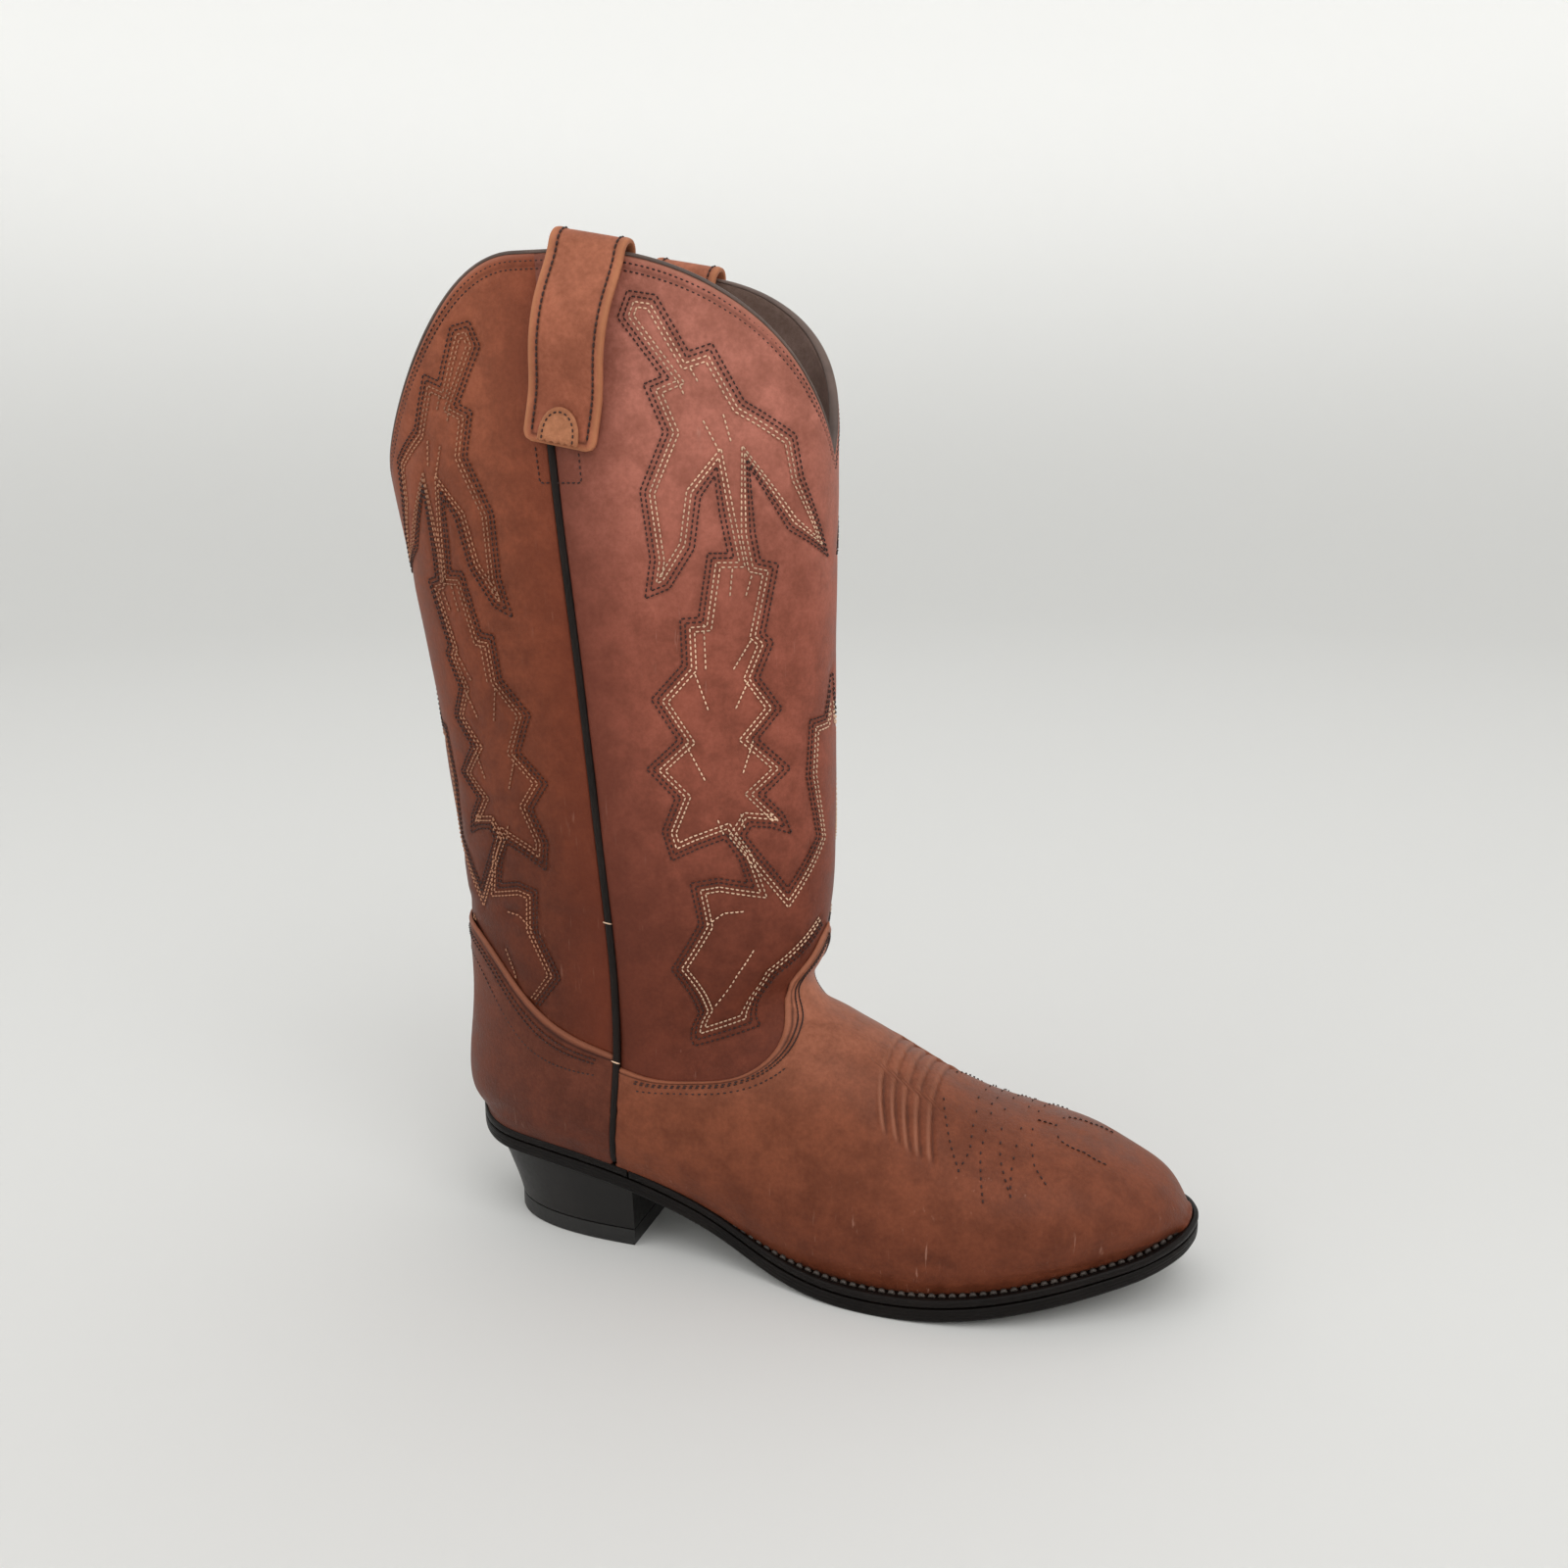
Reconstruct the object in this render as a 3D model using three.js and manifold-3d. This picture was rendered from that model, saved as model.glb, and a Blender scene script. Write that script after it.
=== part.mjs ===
// Western boot for the right foot, in millimetres: toe towards +X, inner side of the foot towards +Y, up +Z.
// Every piece is cut from layers of one last: a surface lofted through upright and fanned-out sections.
import * as THREE from "three";
import { mergeVertices } from "three/addons/utils/BufferGeometryUtils.js";
import Module from "manifold-3d";

const wasm = await Module();
wasm.setup();

// ---------------------------------------------------------------- driving dimensions
const CLEARANCE = 0.3; // between any two pieces that touch

const BOOT_HEIGHT = 371; // floor to the raw top edge at the side seams
const LAST_LENGTH = 278; // heel point to the toe point of the last at the feather line
const LAST_BREADTH = 94; // widest part of the foot, at the ball
const FRONT_SCALLOP = 66; // how far the top line dips at the front
const BACK_SCALLOP = 76; // and at the back

const SHAFT_LEATHER = 1.8;
const FOOT_LEATHER = 1.7;
const LINING_LEATHER = 1.4;
const LASTING_MARGIN = 0.8; // height of the upper's cut edge above the feather line
const HIDDEN_OVERLAP = 12; // how far the shaft runs on under the vamp and the heel counter

const PIPING_DIAMETER = 3.4;
const PIPING_RUN_IN = 8.5; // how far the piping runs up under the pull strap
const BINDING_HEIGHT = 1.5;

const STRAP_WIDTH = 27;
const STRAP_THICKNESS = 2.4;
const STRAP_DROP = 61.5; // how far below the top edge the strap's outer end is sewn
const STRAP_SETBACK = 7; // how far behind the middle of the top edge that end sits
const STRAP_LEAN = 0.187; // radians forward from upright
const STRAP_YAW = 0.04; // radians that the strap faces forward, as the shaft's side does there
const STRAP_REST = 1.6; // middle of the inner leg to the lining, which bends away under its edges
const STRAP_STANDOFF = 6.6; // finger gap behind the outer leg
const STRAP_INNER_DROP = 12; // how far the inner leg ends below the outer one
const TAB_WIDTH = 15;
const TAB_HEIGHT = 12;
const TAB_THICKNESS = 1.2;

const INSOLE_THICKNESS = 2.5;
const SOCK_THICKNESS = 1.6;
const WELT_THICKNESS = 3.4;
const OUTSOLE_THICKNESS = 5.3;
const WELT_INNER_INSET = 6; // the welt reaches this far in under the upper
const SOLE_EDGE_FORE = 8; // how far the sole stands out from the feather line at the toe
const SOLE_EDGE_WAIST = 4;
const SOLE_EDGE_HEEL = 3;

const SHANK = { length: 105, width: 14, thickness: 1.6, start: 52 };

const HEEL_BREAST = 82; // x of the front face of the heel
const HEEL_TOP = { length: 78.5, halfWidth: 36 };
const HEEL_FOOT = { length: 61, halfWidth: 32.5 };
const LIFT_THICKNESS = 6.8;
const NAIL_RADIUS = 1.1;
const NAIL_LENGTH = 27;
const BRAD_RADIUS = 0.9;
const BRAD_LENGTH = 14;
const BRAD_SUNK = 0.2; // depth of the brad heads in the lift

const CUT_REACH = 320; // size of the cutting prisms, larger than the boot

// ---------------------------------------------------------------- the last
// One row per section: bottom or back point (x, z), front point (x, z), half breadth, half breadth at the feather
// line (0 while the section is a closed ring), sideways offset, and the share of the section where it is widest.
const DRAFT = { height: 372, ankle: 120, length: 278, breadth: 94 };
const STATIONS = [
  [-28, 372, 153, 372, 46, 0, 0, 0.5],
  [-20, 300, 154, 300, 46.5, 0, 0, 0.5],
  [-8, 230, 153, 230, 44, 0, 0, 0.5],
  [-1, 170, 153.5, 170, 41, 0, 0, 0.5],
  [4, 120, 151.5, 133, 38.5, 0, 0, 0.48],
  [3.5, 82, 147, 116, 37, 0, 0, 0.44],
  [5.5, 47, 144, 104, 37, 3, 0, 0.4],
  [14.5, 44, 147, 99, 37.5, 20, 0, 0.38],
  [37, 41, 152.5, 95, 38, 31, 0, 0.34],
  [74.5, 36, 162.5, 91, 38.5, 33, -1, 0.32],
  [111, 24.5, 176, 84, 39.5, 32, -1, 0.32],
  [141, 12.5, 192.5, 74, 43, 36.5, 0, 0.32],
  [175, 8.5, 212, 64, 47, 43.5, 1, 0.32],
  [209, 10, 233, 58, 46.5, 44, 2, 0.32],
  [238, 14.5, 253.5, 53, 40, 38, 4, 0.34],
  [261, 19, 271.5, 44.5, 29, 27, 6, 0.36],
  [276, 22.5, 284, 35.5, 17, 16, 7.5, 0.38],
  [283.5, 24.5, 290, 27, 7, 6.5, 8, 0.4],
];
const HEEL_STATION = 6; // the first section that is open at the bottom
const RISE_POWER = 2.3; // roundness of the section below its widest point
const FALL_POWER = 2.2; // and above it
const RISE_STEPS = 4;
const FALL_STEPS = 5;
const RING_GAP = 26; // wider gaps between sections get a ring halfway
const TOE_POLE = 3.5; // the last closes this far in front of its last section
const SOLE_DROP = 12; // depth of the closing wall under the feather line

const lengthRatio = LAST_LENGTH / DRAFT.length;
const breadthRatio = LAST_BREADTH / DRAFT.breadth;
const heightRatio = (BOOT_HEIGHT + 1 - DRAFT.ankle) / (DRAFT.height - DRAFT.ankle);

function sizedHeight(z) {
  return z > DRAFT.ankle ? DRAFT.ankle + (z - DRAFT.ankle) * heightRatio : z;
}

const LAST = STATIONS.map(([gx, gz, fx, fz, half, feather, offset, widest]) => [
  gx * lengthRatio,
  sizedHeight(gz),
  fx * lengthRatio,
  sizedHeight(fz),
  half * breadthRatio,
  feather * breadthRatio,
  offset * breadthRatio,
  widest,
]);

// Natural cubic spline through rows of numbers at the given knots.
function naturalSpline(knots, rows) {
  const last = knots.length - 1;
  const columns = rows[0].length;
  const step = knots.slice(1).map((k, i) => k - knots[i]);
  const bend = rows.map(() => new Array(columns).fill(0));
  for (let c = 0; c < columns; c++) {
    const diagonal = new Array(last + 1).fill(1);
    const right = new Array(last + 1).fill(0);
    for (let i = 1; i < last; i++) {
      const slopeAfter = (rows[i + 1][c] - rows[i][c]) / step[i];
      const slopeBefore = (rows[i][c] - rows[i - 1][c]) / step[i - 1];
      const share = i > 1 ? step[i - 1] / diagonal[i - 1] : 0;
      diagonal[i] = 2 * (step[i - 1] + step[i]) - share * (i > 1 ? step[i - 1] : 0);
      right[i] = 6 * (slopeAfter - slopeBefore) - share * right[i - 1];
    }
    for (let i = last - 1; i > 0; i--) {
      bend[i][c] = (right[i] - (i < last - 1 ? step[i] * bend[i + 1][c] : 0)) / diagonal[i];
    }
  }
  return (at) => {
    let i = 0;
    while (i < last - 1 && at > knots[i + 1]) i++;
    const past = at - knots[i];
    const left = knots[i + 1] - at;
    const h = step[i];
    return rows[i].map((value, c) => {
      const curved = (bend[i][c] * left ** 3 + bend[i + 1][c] * past ** 3) / (6 * h);
      const before = (value / h - (bend[i][c] * h) / 6) * left;
      const after = (rows[i + 1][c] / h - (bend[i + 1][c] * h) / 6) * past;
      return curved + before + after;
    });
  };
}

// Knots go with the mean travel of the two end points of the sections.
const KNOTS = [0];
for (let i = 1; i < LAST.length; i++) {
  const [a, b] = [LAST[i - 1], LAST[i]];
  const travel = Math.hypot(b[0] - a[0], b[1] - a[1]) + Math.hypot(b[2] - a[2], b[3] - a[3]);
  KNOTS.push(KNOTS[i - 1] + travel / 2);
}
const sectionAt = naturalSpline(KNOTS, LAST);
const HEEL_KNOT = KNOTS[HEEL_STATION];
const TOE_KNOT = KNOTS[KNOTS.length - 1];

// A point of the last: t along the knots, turn from -1 (feather or back) through 0 (widest) to 1 (front ridge).
function lastPoint(t, turn, side) {
  const [gx, gz, fx, fz, half, rawFeather, offset, widest] = sectionAt(t);
  const feather = t <= KNOTS[HEEL_STATION - 1] ? 0 : Math.min(Math.max(rawFeather, 0), half * 0.99);
  const power = turn < 0 ? RISE_POWER : FALL_POWER;
  const foot = (1 - (feather / half) ** RISE_POWER) ** (1 / RISE_POWER);
  const full = turn < 0 ? Math.asin(Math.min(1, foot ** (RISE_POWER / 2))) : Math.PI / 2;
  const angle = Math.abs(turn) * full;
  const along = Math.sin(angle) ** (2 / power);
  const share = turn < 0 ? widest * (1 - along / foot) : widest + (1 - widest) * along;
  const out = half * Math.max(0, Math.cos(angle)) ** (2 / power);
  return new THREE.Vector3(gx + (fx - gx) * share, offset + side * out, gz + (fz - gz) * share);
}

// The same point moved out along the surface normal.
function layerPoint(t, turn, side, lift) {
  const dt = 0.4;
  const dTurn = 0.01;
  const t0 = Math.max(0, t - dt);
  const t1 = Math.min(TOE_KNOT, t + dt);
  const w0 = Math.max(turn === 0 ? 0 : -1, turn - dTurn);
  const w1 = Math.min(1, turn + dTurn);
  const alongT = lastPoint(t1, turn, side).sub(lastPoint(t0, turn, side));
  const alongTurn = lastPoint(t, w1, side).sub(lastPoint(t, w0, side));
  const normal = alongTurn.cross(alongT).multiplyScalar(side);
  const closedBack = turn === -1 && t <= KNOTS[HEEL_STATION - 1];
  if (turn === 1 || closedBack) normal.y = 0;
  return lastPoint(t, turn, side).addScaledVector(normal.normalize(), lift);
}

// Section places: every station, the middles of the wide gaps, and one above the top for the cutters.
const RING_KNOTS = KNOTS.flatMap((k, i) => {
  const gap = i + 1 < KNOTS.length ? KNOTS[i + 1] - k : 0;
  return gap > RING_GAP ? [k, k + gap / 2] : [k];
});
const TURNS = [];
for (let i = 0; i < RISE_STEPS; i++) TURNS.push(-1 + i / RISE_STEPS);
for (let i = 0; i <= FALL_STEPS; i++) TURNS.push(i / FALL_STEPS);

// Turns rings of equal length into one closed solid, with a fan over each end.
function ringsToSolid(rings, startPole, endPole) {
  const count = rings[0].length;
  const points = rings.flat().concat([startPole, endPole]);
  const triangles = [];
  for (let r = 0; r + 1 < rings.length; r++) {
    for (let i = 0; i < count; i++) {
      const j = (i + 1) % count;
      const [a, b, c, d] = [r * count + i, r * count + j, (r + 1) * count + j, (r + 1) * count + i];
      triangles.push(a, b, c, a, c, d);
    }
  }
  const lastRing = (rings.length - 1) * count;
  for (let i = 0; i < count; i++) {
    const j = (i + 1) % count;
    triangles.push(points.length - 2, j, i, points.length - 1, lastRing + i, lastRing + j);
  }
  const geometry = new THREE.BufferGeometry().setFromPoints(points);
  geometry.setIndex(triangles);
  return toSolid(geometry);
}

// A closed three.js geometry as a manifold solid, with faces out and no collapsed triangles.
function toSolid(geometry) {
  const bare = geometry.clone();
  bare.deleteAttribute("normal");
  bare.deleteAttribute("uv");
  const merged = mergeVertices(bare, 1e-4);
  const index = merged.index.array;
  const kept = [];
  for (let i = 0; i < index.length; i += 3) {
    const [a, b, c] = [index[i], index[i + 1], index[i + 2]];
    if (a !== b && b !== c && c !== a) kept.push(a, b, c);
  }
  const build = (faces) =>
    new wasm.Manifold(
      new wasm.Mesh({
        numProp: 3,
        vertProperties: new Float32Array(merged.attributes.position.array),
        triVerts: new Uint32Array(faces),
      }),
    );
  const solid = build(kept);
  if (solid.volume() > 0) return solid;
  for (let i = 0; i < kept.length; i += 3) [kept[i + 1], kept[i + 2]] = [kept[i + 2], kept[i + 1]];
  return build(kept);
}

// The solid inside the last surface when that is moved out by lift.
function lastSolid(lift) {
  const knots = lift < 0 ? RING_KNOTS.slice(0, -1) : RING_KNOTS; // the last section is too small to shrink
  const rings = knots.map((t) => {
    const feather = t <= KNOTS[HEEL_STATION - 1] ? 0 : sectionAt(t)[5];
    const drop = SOLE_DROP * Math.min(1, Math.max(0, feather) / 10);
    const outer = TURNS.map((turn) => layerPoint(t, turn, -1, lift));
    const inner = TURNS.slice(0, -1).reverse().map((turn) => layerPoint(t, turn, 1, lift));
    const below = (p) => new THREE.Vector3(p.x, p.y, p.z - drop);
    return [below(outer[0]), ...outer, ...inner, below(inner[inner.length - 1])];
  });
  const above = rings[0].map((p) => new THREE.Vector3(p.x, p.y, p.z + 12));
  rings.unshift(above);
  const middle = (ring) => ring.reduce((sum, p) => sum.add(p), new THREE.Vector3()).divideScalar(ring.length);
  const [gx, gz, fx, fz, , , offset] = sectionAt(TOE_KNOT);
  const pole = new THREE.Vector3((gx + fx) / 2 + TOE_POLE + lift, offset, (gz + fz) / 2);
  return ringsToSolid(rings, middle(above), pole);
}

// ---------------------------------------------------------------- side-view lines
// The section that passes through a side-view point, and how far along the section the point lies.
function sidePlace(x, z) {
  let low = 0;
  let high = TOE_KNOT;
  const past = (t) => {
    const [gx, gz, fx, fz] = sectionAt(t);
    return (fx - gx) * (z - gz) - (fz - gz) * (x - gx);
  };
  for (let i = 0; i < 50; i++) {
    const mid = (low + high) / 2;
    if (past(mid) < 0) low = mid;
    else high = mid;
  }
  const [gx, gz, fx, fz] = sectionAt(low);
  const share = ((x - gx) * (fx - gx) + (z - gz) * (fz - gz)) / ((fx - gx) ** 2 + (fz - gz) ** 2);
  return { t: low, share };
}

// Outer side-view point on the surface, lifted off it; near the feather line the share is found by search.
function sidePoint(x, z, side, lift) {
  const place = sidePlace(x, z);
  let low = -1;
  let high = 1;
  const wanted = place.share;
  const [gx, gz, fx, fz] = sectionAt(place.t);
  const shareOf = (turn) => {
    const p = lastPoint(place.t, turn, side);
    return ((p.x - gx) * (fx - gx) + (p.z - gz) * (fz - gz)) / ((fx - gx) ** 2 + (fz - gz) ** 2);
  };
  for (let i = 0; i < 40; i++) {
    const mid = (low + high) / 2;
    if (shareOf(mid) < wanted) low = mid;
    else high = mid;
  }
  return layerPoint(place.t, Math.min(0.999, Math.max(-0.999, low)), side, lift);
}

function curveThrough(points, steps) {
  const knots = [0];
  points.slice(1).forEach((p, i) => {
    knots.push(knots[i] + Math.hypot(p[0] - points[i][0], p[1] - points[i][1]));
  });
  const at = naturalSpline(knots, points);
  return Array.from({ length: steps + 1 }, (_, i) => at((knots[knots.length - 1] * i) / steps));
}

const scaleX = (x) => x * lengthRatio;

// x of the side seam at a height
const SEAM_POINTS = [
  [76, 30],
  [78, 58],
  [79, 83],
  [79, 120],
  [76.3, 170],
  [72.5, 230],
  [67, 300],
  [62.5, 372],
].map(([x, z]) => [scaleX(x), sizedHeight(z)]);
const seamSpline = naturalSpline(
  SEAM_POINTS.map((p) => p[1]),
  SEAM_POINTS.map((p) => [p[0]]),
);
const seamX = (z) => seamSpline(z)[0];

// Top line: highest at the straps, dipping to the front and the back.
const TOP_CENTRE = scaleX(78);
const TOP_STEPS = 11;
function topLine(x) {
  const reach = x > TOP_CENTRE ? scaleX(154) - TOP_CENTRE : TOP_CENTRE - scaleX(-27);
  const along = Math.min(1, Math.abs(x - TOP_CENTRE) / reach);
  const round = Math.asin(along) / (Math.PI / 2);
  if (x > TOP_CENTRE) return BOOT_HEIGHT - FRONT_SCALLOP * round ** 1.85;
  const wave = Math.min(1, Math.max(0, (round - 0.147) / 0.653));
  return BOOT_HEIGHT - (BACK_SCALLOP * (1 - Math.cos(Math.PI * wave))) / 2;
}
function topLinePoints(lift) {
  const points = [[-80, topLine(-80) + lift]];
  for (let i = -TOP_STEPS; i <= TOP_STEPS; i++) {
    const x = TOP_CENTRE + scaleX(109) * Math.sin((i / TOP_STEPS) * (Math.PI / 2));
    points.push([x, topLine(x) + lift]);
  }
  points.push([240, topLine(240) + lift]);
  return points;
}

// Upper edge of the heel counter cover, rising to the back, and of the vamp, rising to the tongue.
const COUNTER_EDGE = curveThrough(
  [[-24, 127], [14, 123], [36, 105], [56, 90], [80, 81.5]].map(([x, z]) => [scaleX(x), z]),
  8,
);
const VAMP_EDGE = curveThrough(
  [[74, 81], [92, 74.5], [110, 75], [130, 79.5], [140, 90], [139, 107], [147, 119], [160, 143]].map(([x, z]) => [
    scaleX(x),
    z,
  ]),
  12,
);
const sunkEdge = (edge, drop) => edge.map(([x, z]) => [x, z - drop]);
// An edge moved square to itself, to the right of its run.
function beside(edge, distance) {
  return edge.map(([x, z], i) => {
    const before = edge[Math.max(0, i - 1)];
    const after = edge[Math.min(edge.length - 1, i + 1)];
    const run = Math.hypot(after[0] - before[0], after[1] - before[1]);
    return [x + ((after[1] - before[1]) / run) * distance, z - ((after[0] - before[0]) / run) * distance];
  });
}

// Solid cut out of the side view, right across the boot.
function sidePrism(outline) {
  const geometry = new THREE.ExtrudeGeometry(new THREE.Shape(outline.map(([x, z]) => new THREE.Vector2(x, z))), {
    depth: CUT_REACH,
    bevelEnabled: false,
  });
  geometry.rotateX(Math.PI / 2);
  geometry.translate(0, CUT_REACH / 2, 0);
  return toSolid(geometry);
}

// Solid cut out of the plan view, from under the floor to over the instep.
function planPrism(outline) {
  const geometry = new THREE.ExtrudeGeometry(new THREE.Shape(outline.map(([x, y]) => new THREE.Vector2(x, y))), {
    depth: CUT_REACH,
    bevelEnabled: false,
  });
  geometry.translate(0, 0, -CUT_REACH / 2);
  return toSolid(geometry);
}

// Everything behind (side -1) or in front of (side 1) the seam, keeping the piping's channel free below its top.
const PIPING_CHANNEL = PIPING_DIAMETER / 2 + CLEARANCE;
const PIPING_TOP = BOOT_HEIGHT - STRAP_DROP + PIPING_RUN_IN;
const SEAM_STEPS = 12;
function seamSide(side) {
  const edge = [];
  const top = PIPING_TOP + CLEARANCE;
  for (let i = 0; i <= SEAM_STEPS; i++) {
    const z = (top * i) / SEAM_STEPS;
    edge.push([seamX(Math.max(z, SEAM_POINTS[0][1])) + side * PIPING_CHANNEL, z]);
  }
  edge.push([seamX(top) + (side * CLEARANCE) / 2, top + 0.1]);
  edge.push([seamX(BOOT_HEIGHT) + (side * CLEARANCE) / 2, BOOT_HEIGHT + 20]);
  const far = side * CUT_REACH * 1.5;
  return sidePrism([[far, 0], ...edge, [far, BOOT_HEIGHT + 20]]);
}

// ---------------------------------------------------------------- layers of the upper
const shaftOut = 0;
const shaftIn = -SHAFT_LEATHER;
const liningOut = shaftIn - CLEARANCE;
const liningIn = liningOut - LINING_LEATHER;
const footIn = CLEARANCE;
const footOut = footIn + FOOT_LEATHER;

// Feather line height at x: bottom points of the sections, carried on level at the heel and upwards at the toe.
const FEATHER = [];
const FEATHER_STEPS = 13;
for (let i = 0; i <= FEATHER_STEPS; i++) {
  const [gx, gz] = sectionAt(HEEL_KNOT + ((TOE_KNOT - HEEL_KNOT) * i) / FEATHER_STEPS);
  FEATHER.push([gx, gz]);
}
function featherLine(lift) {
  const first = FEATHER[0];
  const last = FEATHER[FEATHER.length - 1];
  const before = FEATHER[FEATHER.length - 2];
  const slope = (last[1] - before[1]) / (last[0] - before[0]);
  const run = 60;
  return [[first[0] - run, first[1]], ...FEATHER, [last[0] + run, last[1] + slope * run]].map(([x, z]) => [x, z + lift]);
}
// Bent plate region between two heights over the feather line.
function band(top, bottom) {
  return sidePrism([...featherLine(top), ...featherLine(bottom).reverse()]);
}
const underUpper = sidePrism([...featherLine(LASTING_MARGIN), [400, -90], [-100, -90]]);

function layer(outside, inside) {
  return lastSolid(outside).subtract(lastSolid(inside)).subtract(underUpper);
}
const shaftLayer = layer(shaftOut, shaftIn);
const liningLayer = layer(liningOut, liningIn);
const footLayer = layer(footOut, footIn);
const rimLayer = layer(shaftOut, liningIn);

const behindSeam = seamSide(-1);
const beforeSeam = seamSide(1);
const underTopLine = sidePrism([...topLinePoints(0), [240, -40], [-80, -40]]);
const overTopLine = sidePrism([...topLinePoints(BINDING_HEIGHT + CLEARANCE), ...topLinePoints(CLEARANCE).reverse()]);

// Everything under an edge, in the side view.
function underEdge(edge) {
  const [start, end] = [edge[0], edge[edge.length - 1]];
  return sidePrism([
    [start[0] - 60, start[1]],
    ...edge,
    [end[0] + 200, end[1] + 40],
    [end[0] + 200, -40],
    [start[0] - 60, -40],
  ]);
}
const hiddenCounterEdge = sunkEdge(COUNTER_EDGE, HIDDEN_OVERLAP);
const hiddenVampEdge = sunkEdge(VAMP_EDGE, HIDDEN_OVERLAP);
const counterRegion = underEdge(COUNTER_EDGE);
const vampRegion = underEdge(VAMP_EDGE);
const underCounter = underEdge(hiddenCounterEdge);
const underVamp = underEdge(hiddenVampEdge);
const stiffenerRegion = underEdge(beside(hiddenCounterEdge, CLEARANCE));
const footLiningRegion = underEdge(beside(hiddenVampEdge, CLEARANCE));
const TOE_BOX_START = scaleX(226);
const toeRegion = sidePrism([
  [TOE_BOX_START, -40],
  [TOE_BOX_START + 10, 80],
  [400, 80],
  [400, -40],
]);

// ---------------------------------------------------------------- soles
// Feather line in plan: the outer side from heel to toe, then back along the inner side.
const PLAN = [];
const PLAN_STEPS = 24;
// Steps are short at the heel and the toe, where the outline turns.
function planRow(i) {
  return sectionAt(HEEL_KNOT + ((TOE_KNOT - HEEL_KNOT) * (1 - Math.cos((Math.PI * i) / PLAN_STEPS))) / 2);
}
for (let i = 0; i <= PLAN_STEPS; i++) {
  const row = planRow(i);
  PLAN.push([row[0], row[6] - row[5]]);
}
PLAN.push([sectionAt(TOE_KNOT)[0] + TOE_POLE, sectionAt(TOE_KNOT)[6]]);
for (let i = PLAN_STEPS; i >= 0; i--) {
  const row = planRow(i);
  PLAN.push([row[0], row[6] + row[5]]);
}
// The plan outline moved out by a distance that may change with x.
function planOutline(distance) {
  return PLAN.map(([x, y], i) => {
    const before = PLAN[(i + PLAN.length - 1) % PLAN.length];
    const after = PLAN[(i + 1) % PLAN.length];
    const run = Math.hypot(after[0] - before[0], after[1] - before[1]);
    const away = distance(x);
    return [x + ((after[1] - before[1]) / run) * away, y - ((after[0] - before[0]) / run) * away];
  });
}
function soleEdge(x) {
  const toWaist = THREE.MathUtils.smoothstep(x, HEEL_BREAST - 10, HEEL_BREAST + 30);
  const toFore = THREE.MathUtils.smoothstep(x, HEEL_BREAST + 30, HEEL_BREAST + 90);
  return SOLE_EDGE_HEEL + (SOLE_EDGE_WAIST - SOLE_EDGE_HEEL) * toWaist + (SOLE_EDGE_FORE - SOLE_EDGE_WAIST) * toFore;
}
const soleOutline = planPrism(planOutline(soleEdge));
const weltTop = LASTING_MARGIN - CLEARANCE;
const weltBottom = weltTop - WELT_THICKNESS;
const soleTop = weltBottom - CLEARANCE;
const soleBottom = soleTop - OUTSOLE_THICKNESS;

const weltRing = soleOutline.subtract(planPrism(planOutline(() => -WELT_INNER_INSET))).intersect(band(weltTop, weltBottom));
const beforeBreast = sidePrism([[HEEL_BREAST, -60], [HEEL_BREAST, 200], [420, 200], [420, -60]]);
const behindBreast = sidePrism([
  [HEEL_BREAST - CLEARANCE, -60],
  [HEEL_BREAST - CLEARANCE, 200],
  [-100, 200],
  [-100, -60],
]);
const outsolePlate = soleOutline.intersect(band(soleTop, soleBottom));

// The insole rests on the welt's inner edge and fills the bottom of the lined cavity, with the sock lining on it.
const cavity = lastSolid(liningIn - CLEARANCE);
const insoleBottom = weltTop + CLEARANCE;
const insoleTop = insoleBottom + INSOLE_THICKNESS;
const insolePlate = cavity.intersect(band(insoleTop, insoleBottom));
const sockBottom = insoleTop + CLEARANCE;
const sockTop = sockBottom + SOCK_THICKNESS;
const sockPlate = cavity.intersect(band(sockTop, sockBottom));
const fillerOutline = planOutline(() => -WELT_INNER_INSET - 2 * CLEARANCE);
const fillerPlate = planPrism(fillerOutline).intersect(band(weltTop, weltBottom));

function shankSolid(extra) {
  const half = SHANK.width / 2 + extra;
  const start = SHANK.start - extra;
  const end = SHANK.start + SHANK.length + extra;
  const outline = planPrism([[start, -half], [end, -half], [end, half], [start, half]]);
  const under = weltBottom + CLEARANCE / 2;
  return outline.intersect(band(under + SHANK.thickness + extra, under - extra));
}
const shank = shankSolid(0);

// ---------------------------------------------------------------- heel
// D-shaped plan of the heel: straight at the breast, rounded at the back.
const HEEL_ROUND = 2.6;
function heelPlan(length, halfWidth, steps) {
  const points = [];
  for (let i = 0; i <= steps; i++) {
    const angle = (Math.PI * i) / steps;
    const across = Math.sign(Math.cos(angle)) * Math.abs(Math.cos(angle)) ** (2 / HEEL_ROUND);
    const back = Math.sin(angle) ** (2 / HEEL_ROUND);
    points.push([HEEL_BREAST - length * back, -halfWidth * across]);
  }
  return points;
}
const HEEL_STEPS = 14;
const FLOOR = Math.min(...FEATHER.map((p) => p[1])) + soleBottom; // the ball of the sole and the lift stand on it
const LIFT_TOP = FLOOR + LIFT_THICKNESS;
const heelSeatZ = FEATHER[0][1];
function heelRing(z) {
  const rise = (z - LIFT_TOP) / (heelSeatZ - LIFT_TOP);
  const flare = rise ** 1.25;
  const length = HEEL_FOOT.length + (HEEL_TOP.length - HEEL_FOOT.length) * flare;
  const halfWidth = HEEL_FOOT.halfWidth + (HEEL_TOP.halfWidth - HEEL_FOOT.halfWidth) * flare;
  return heelPlan(length, halfWidth, HEEL_STEPS).map(([x, y]) => new THREE.Vector3(x, y, z));
}
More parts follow.
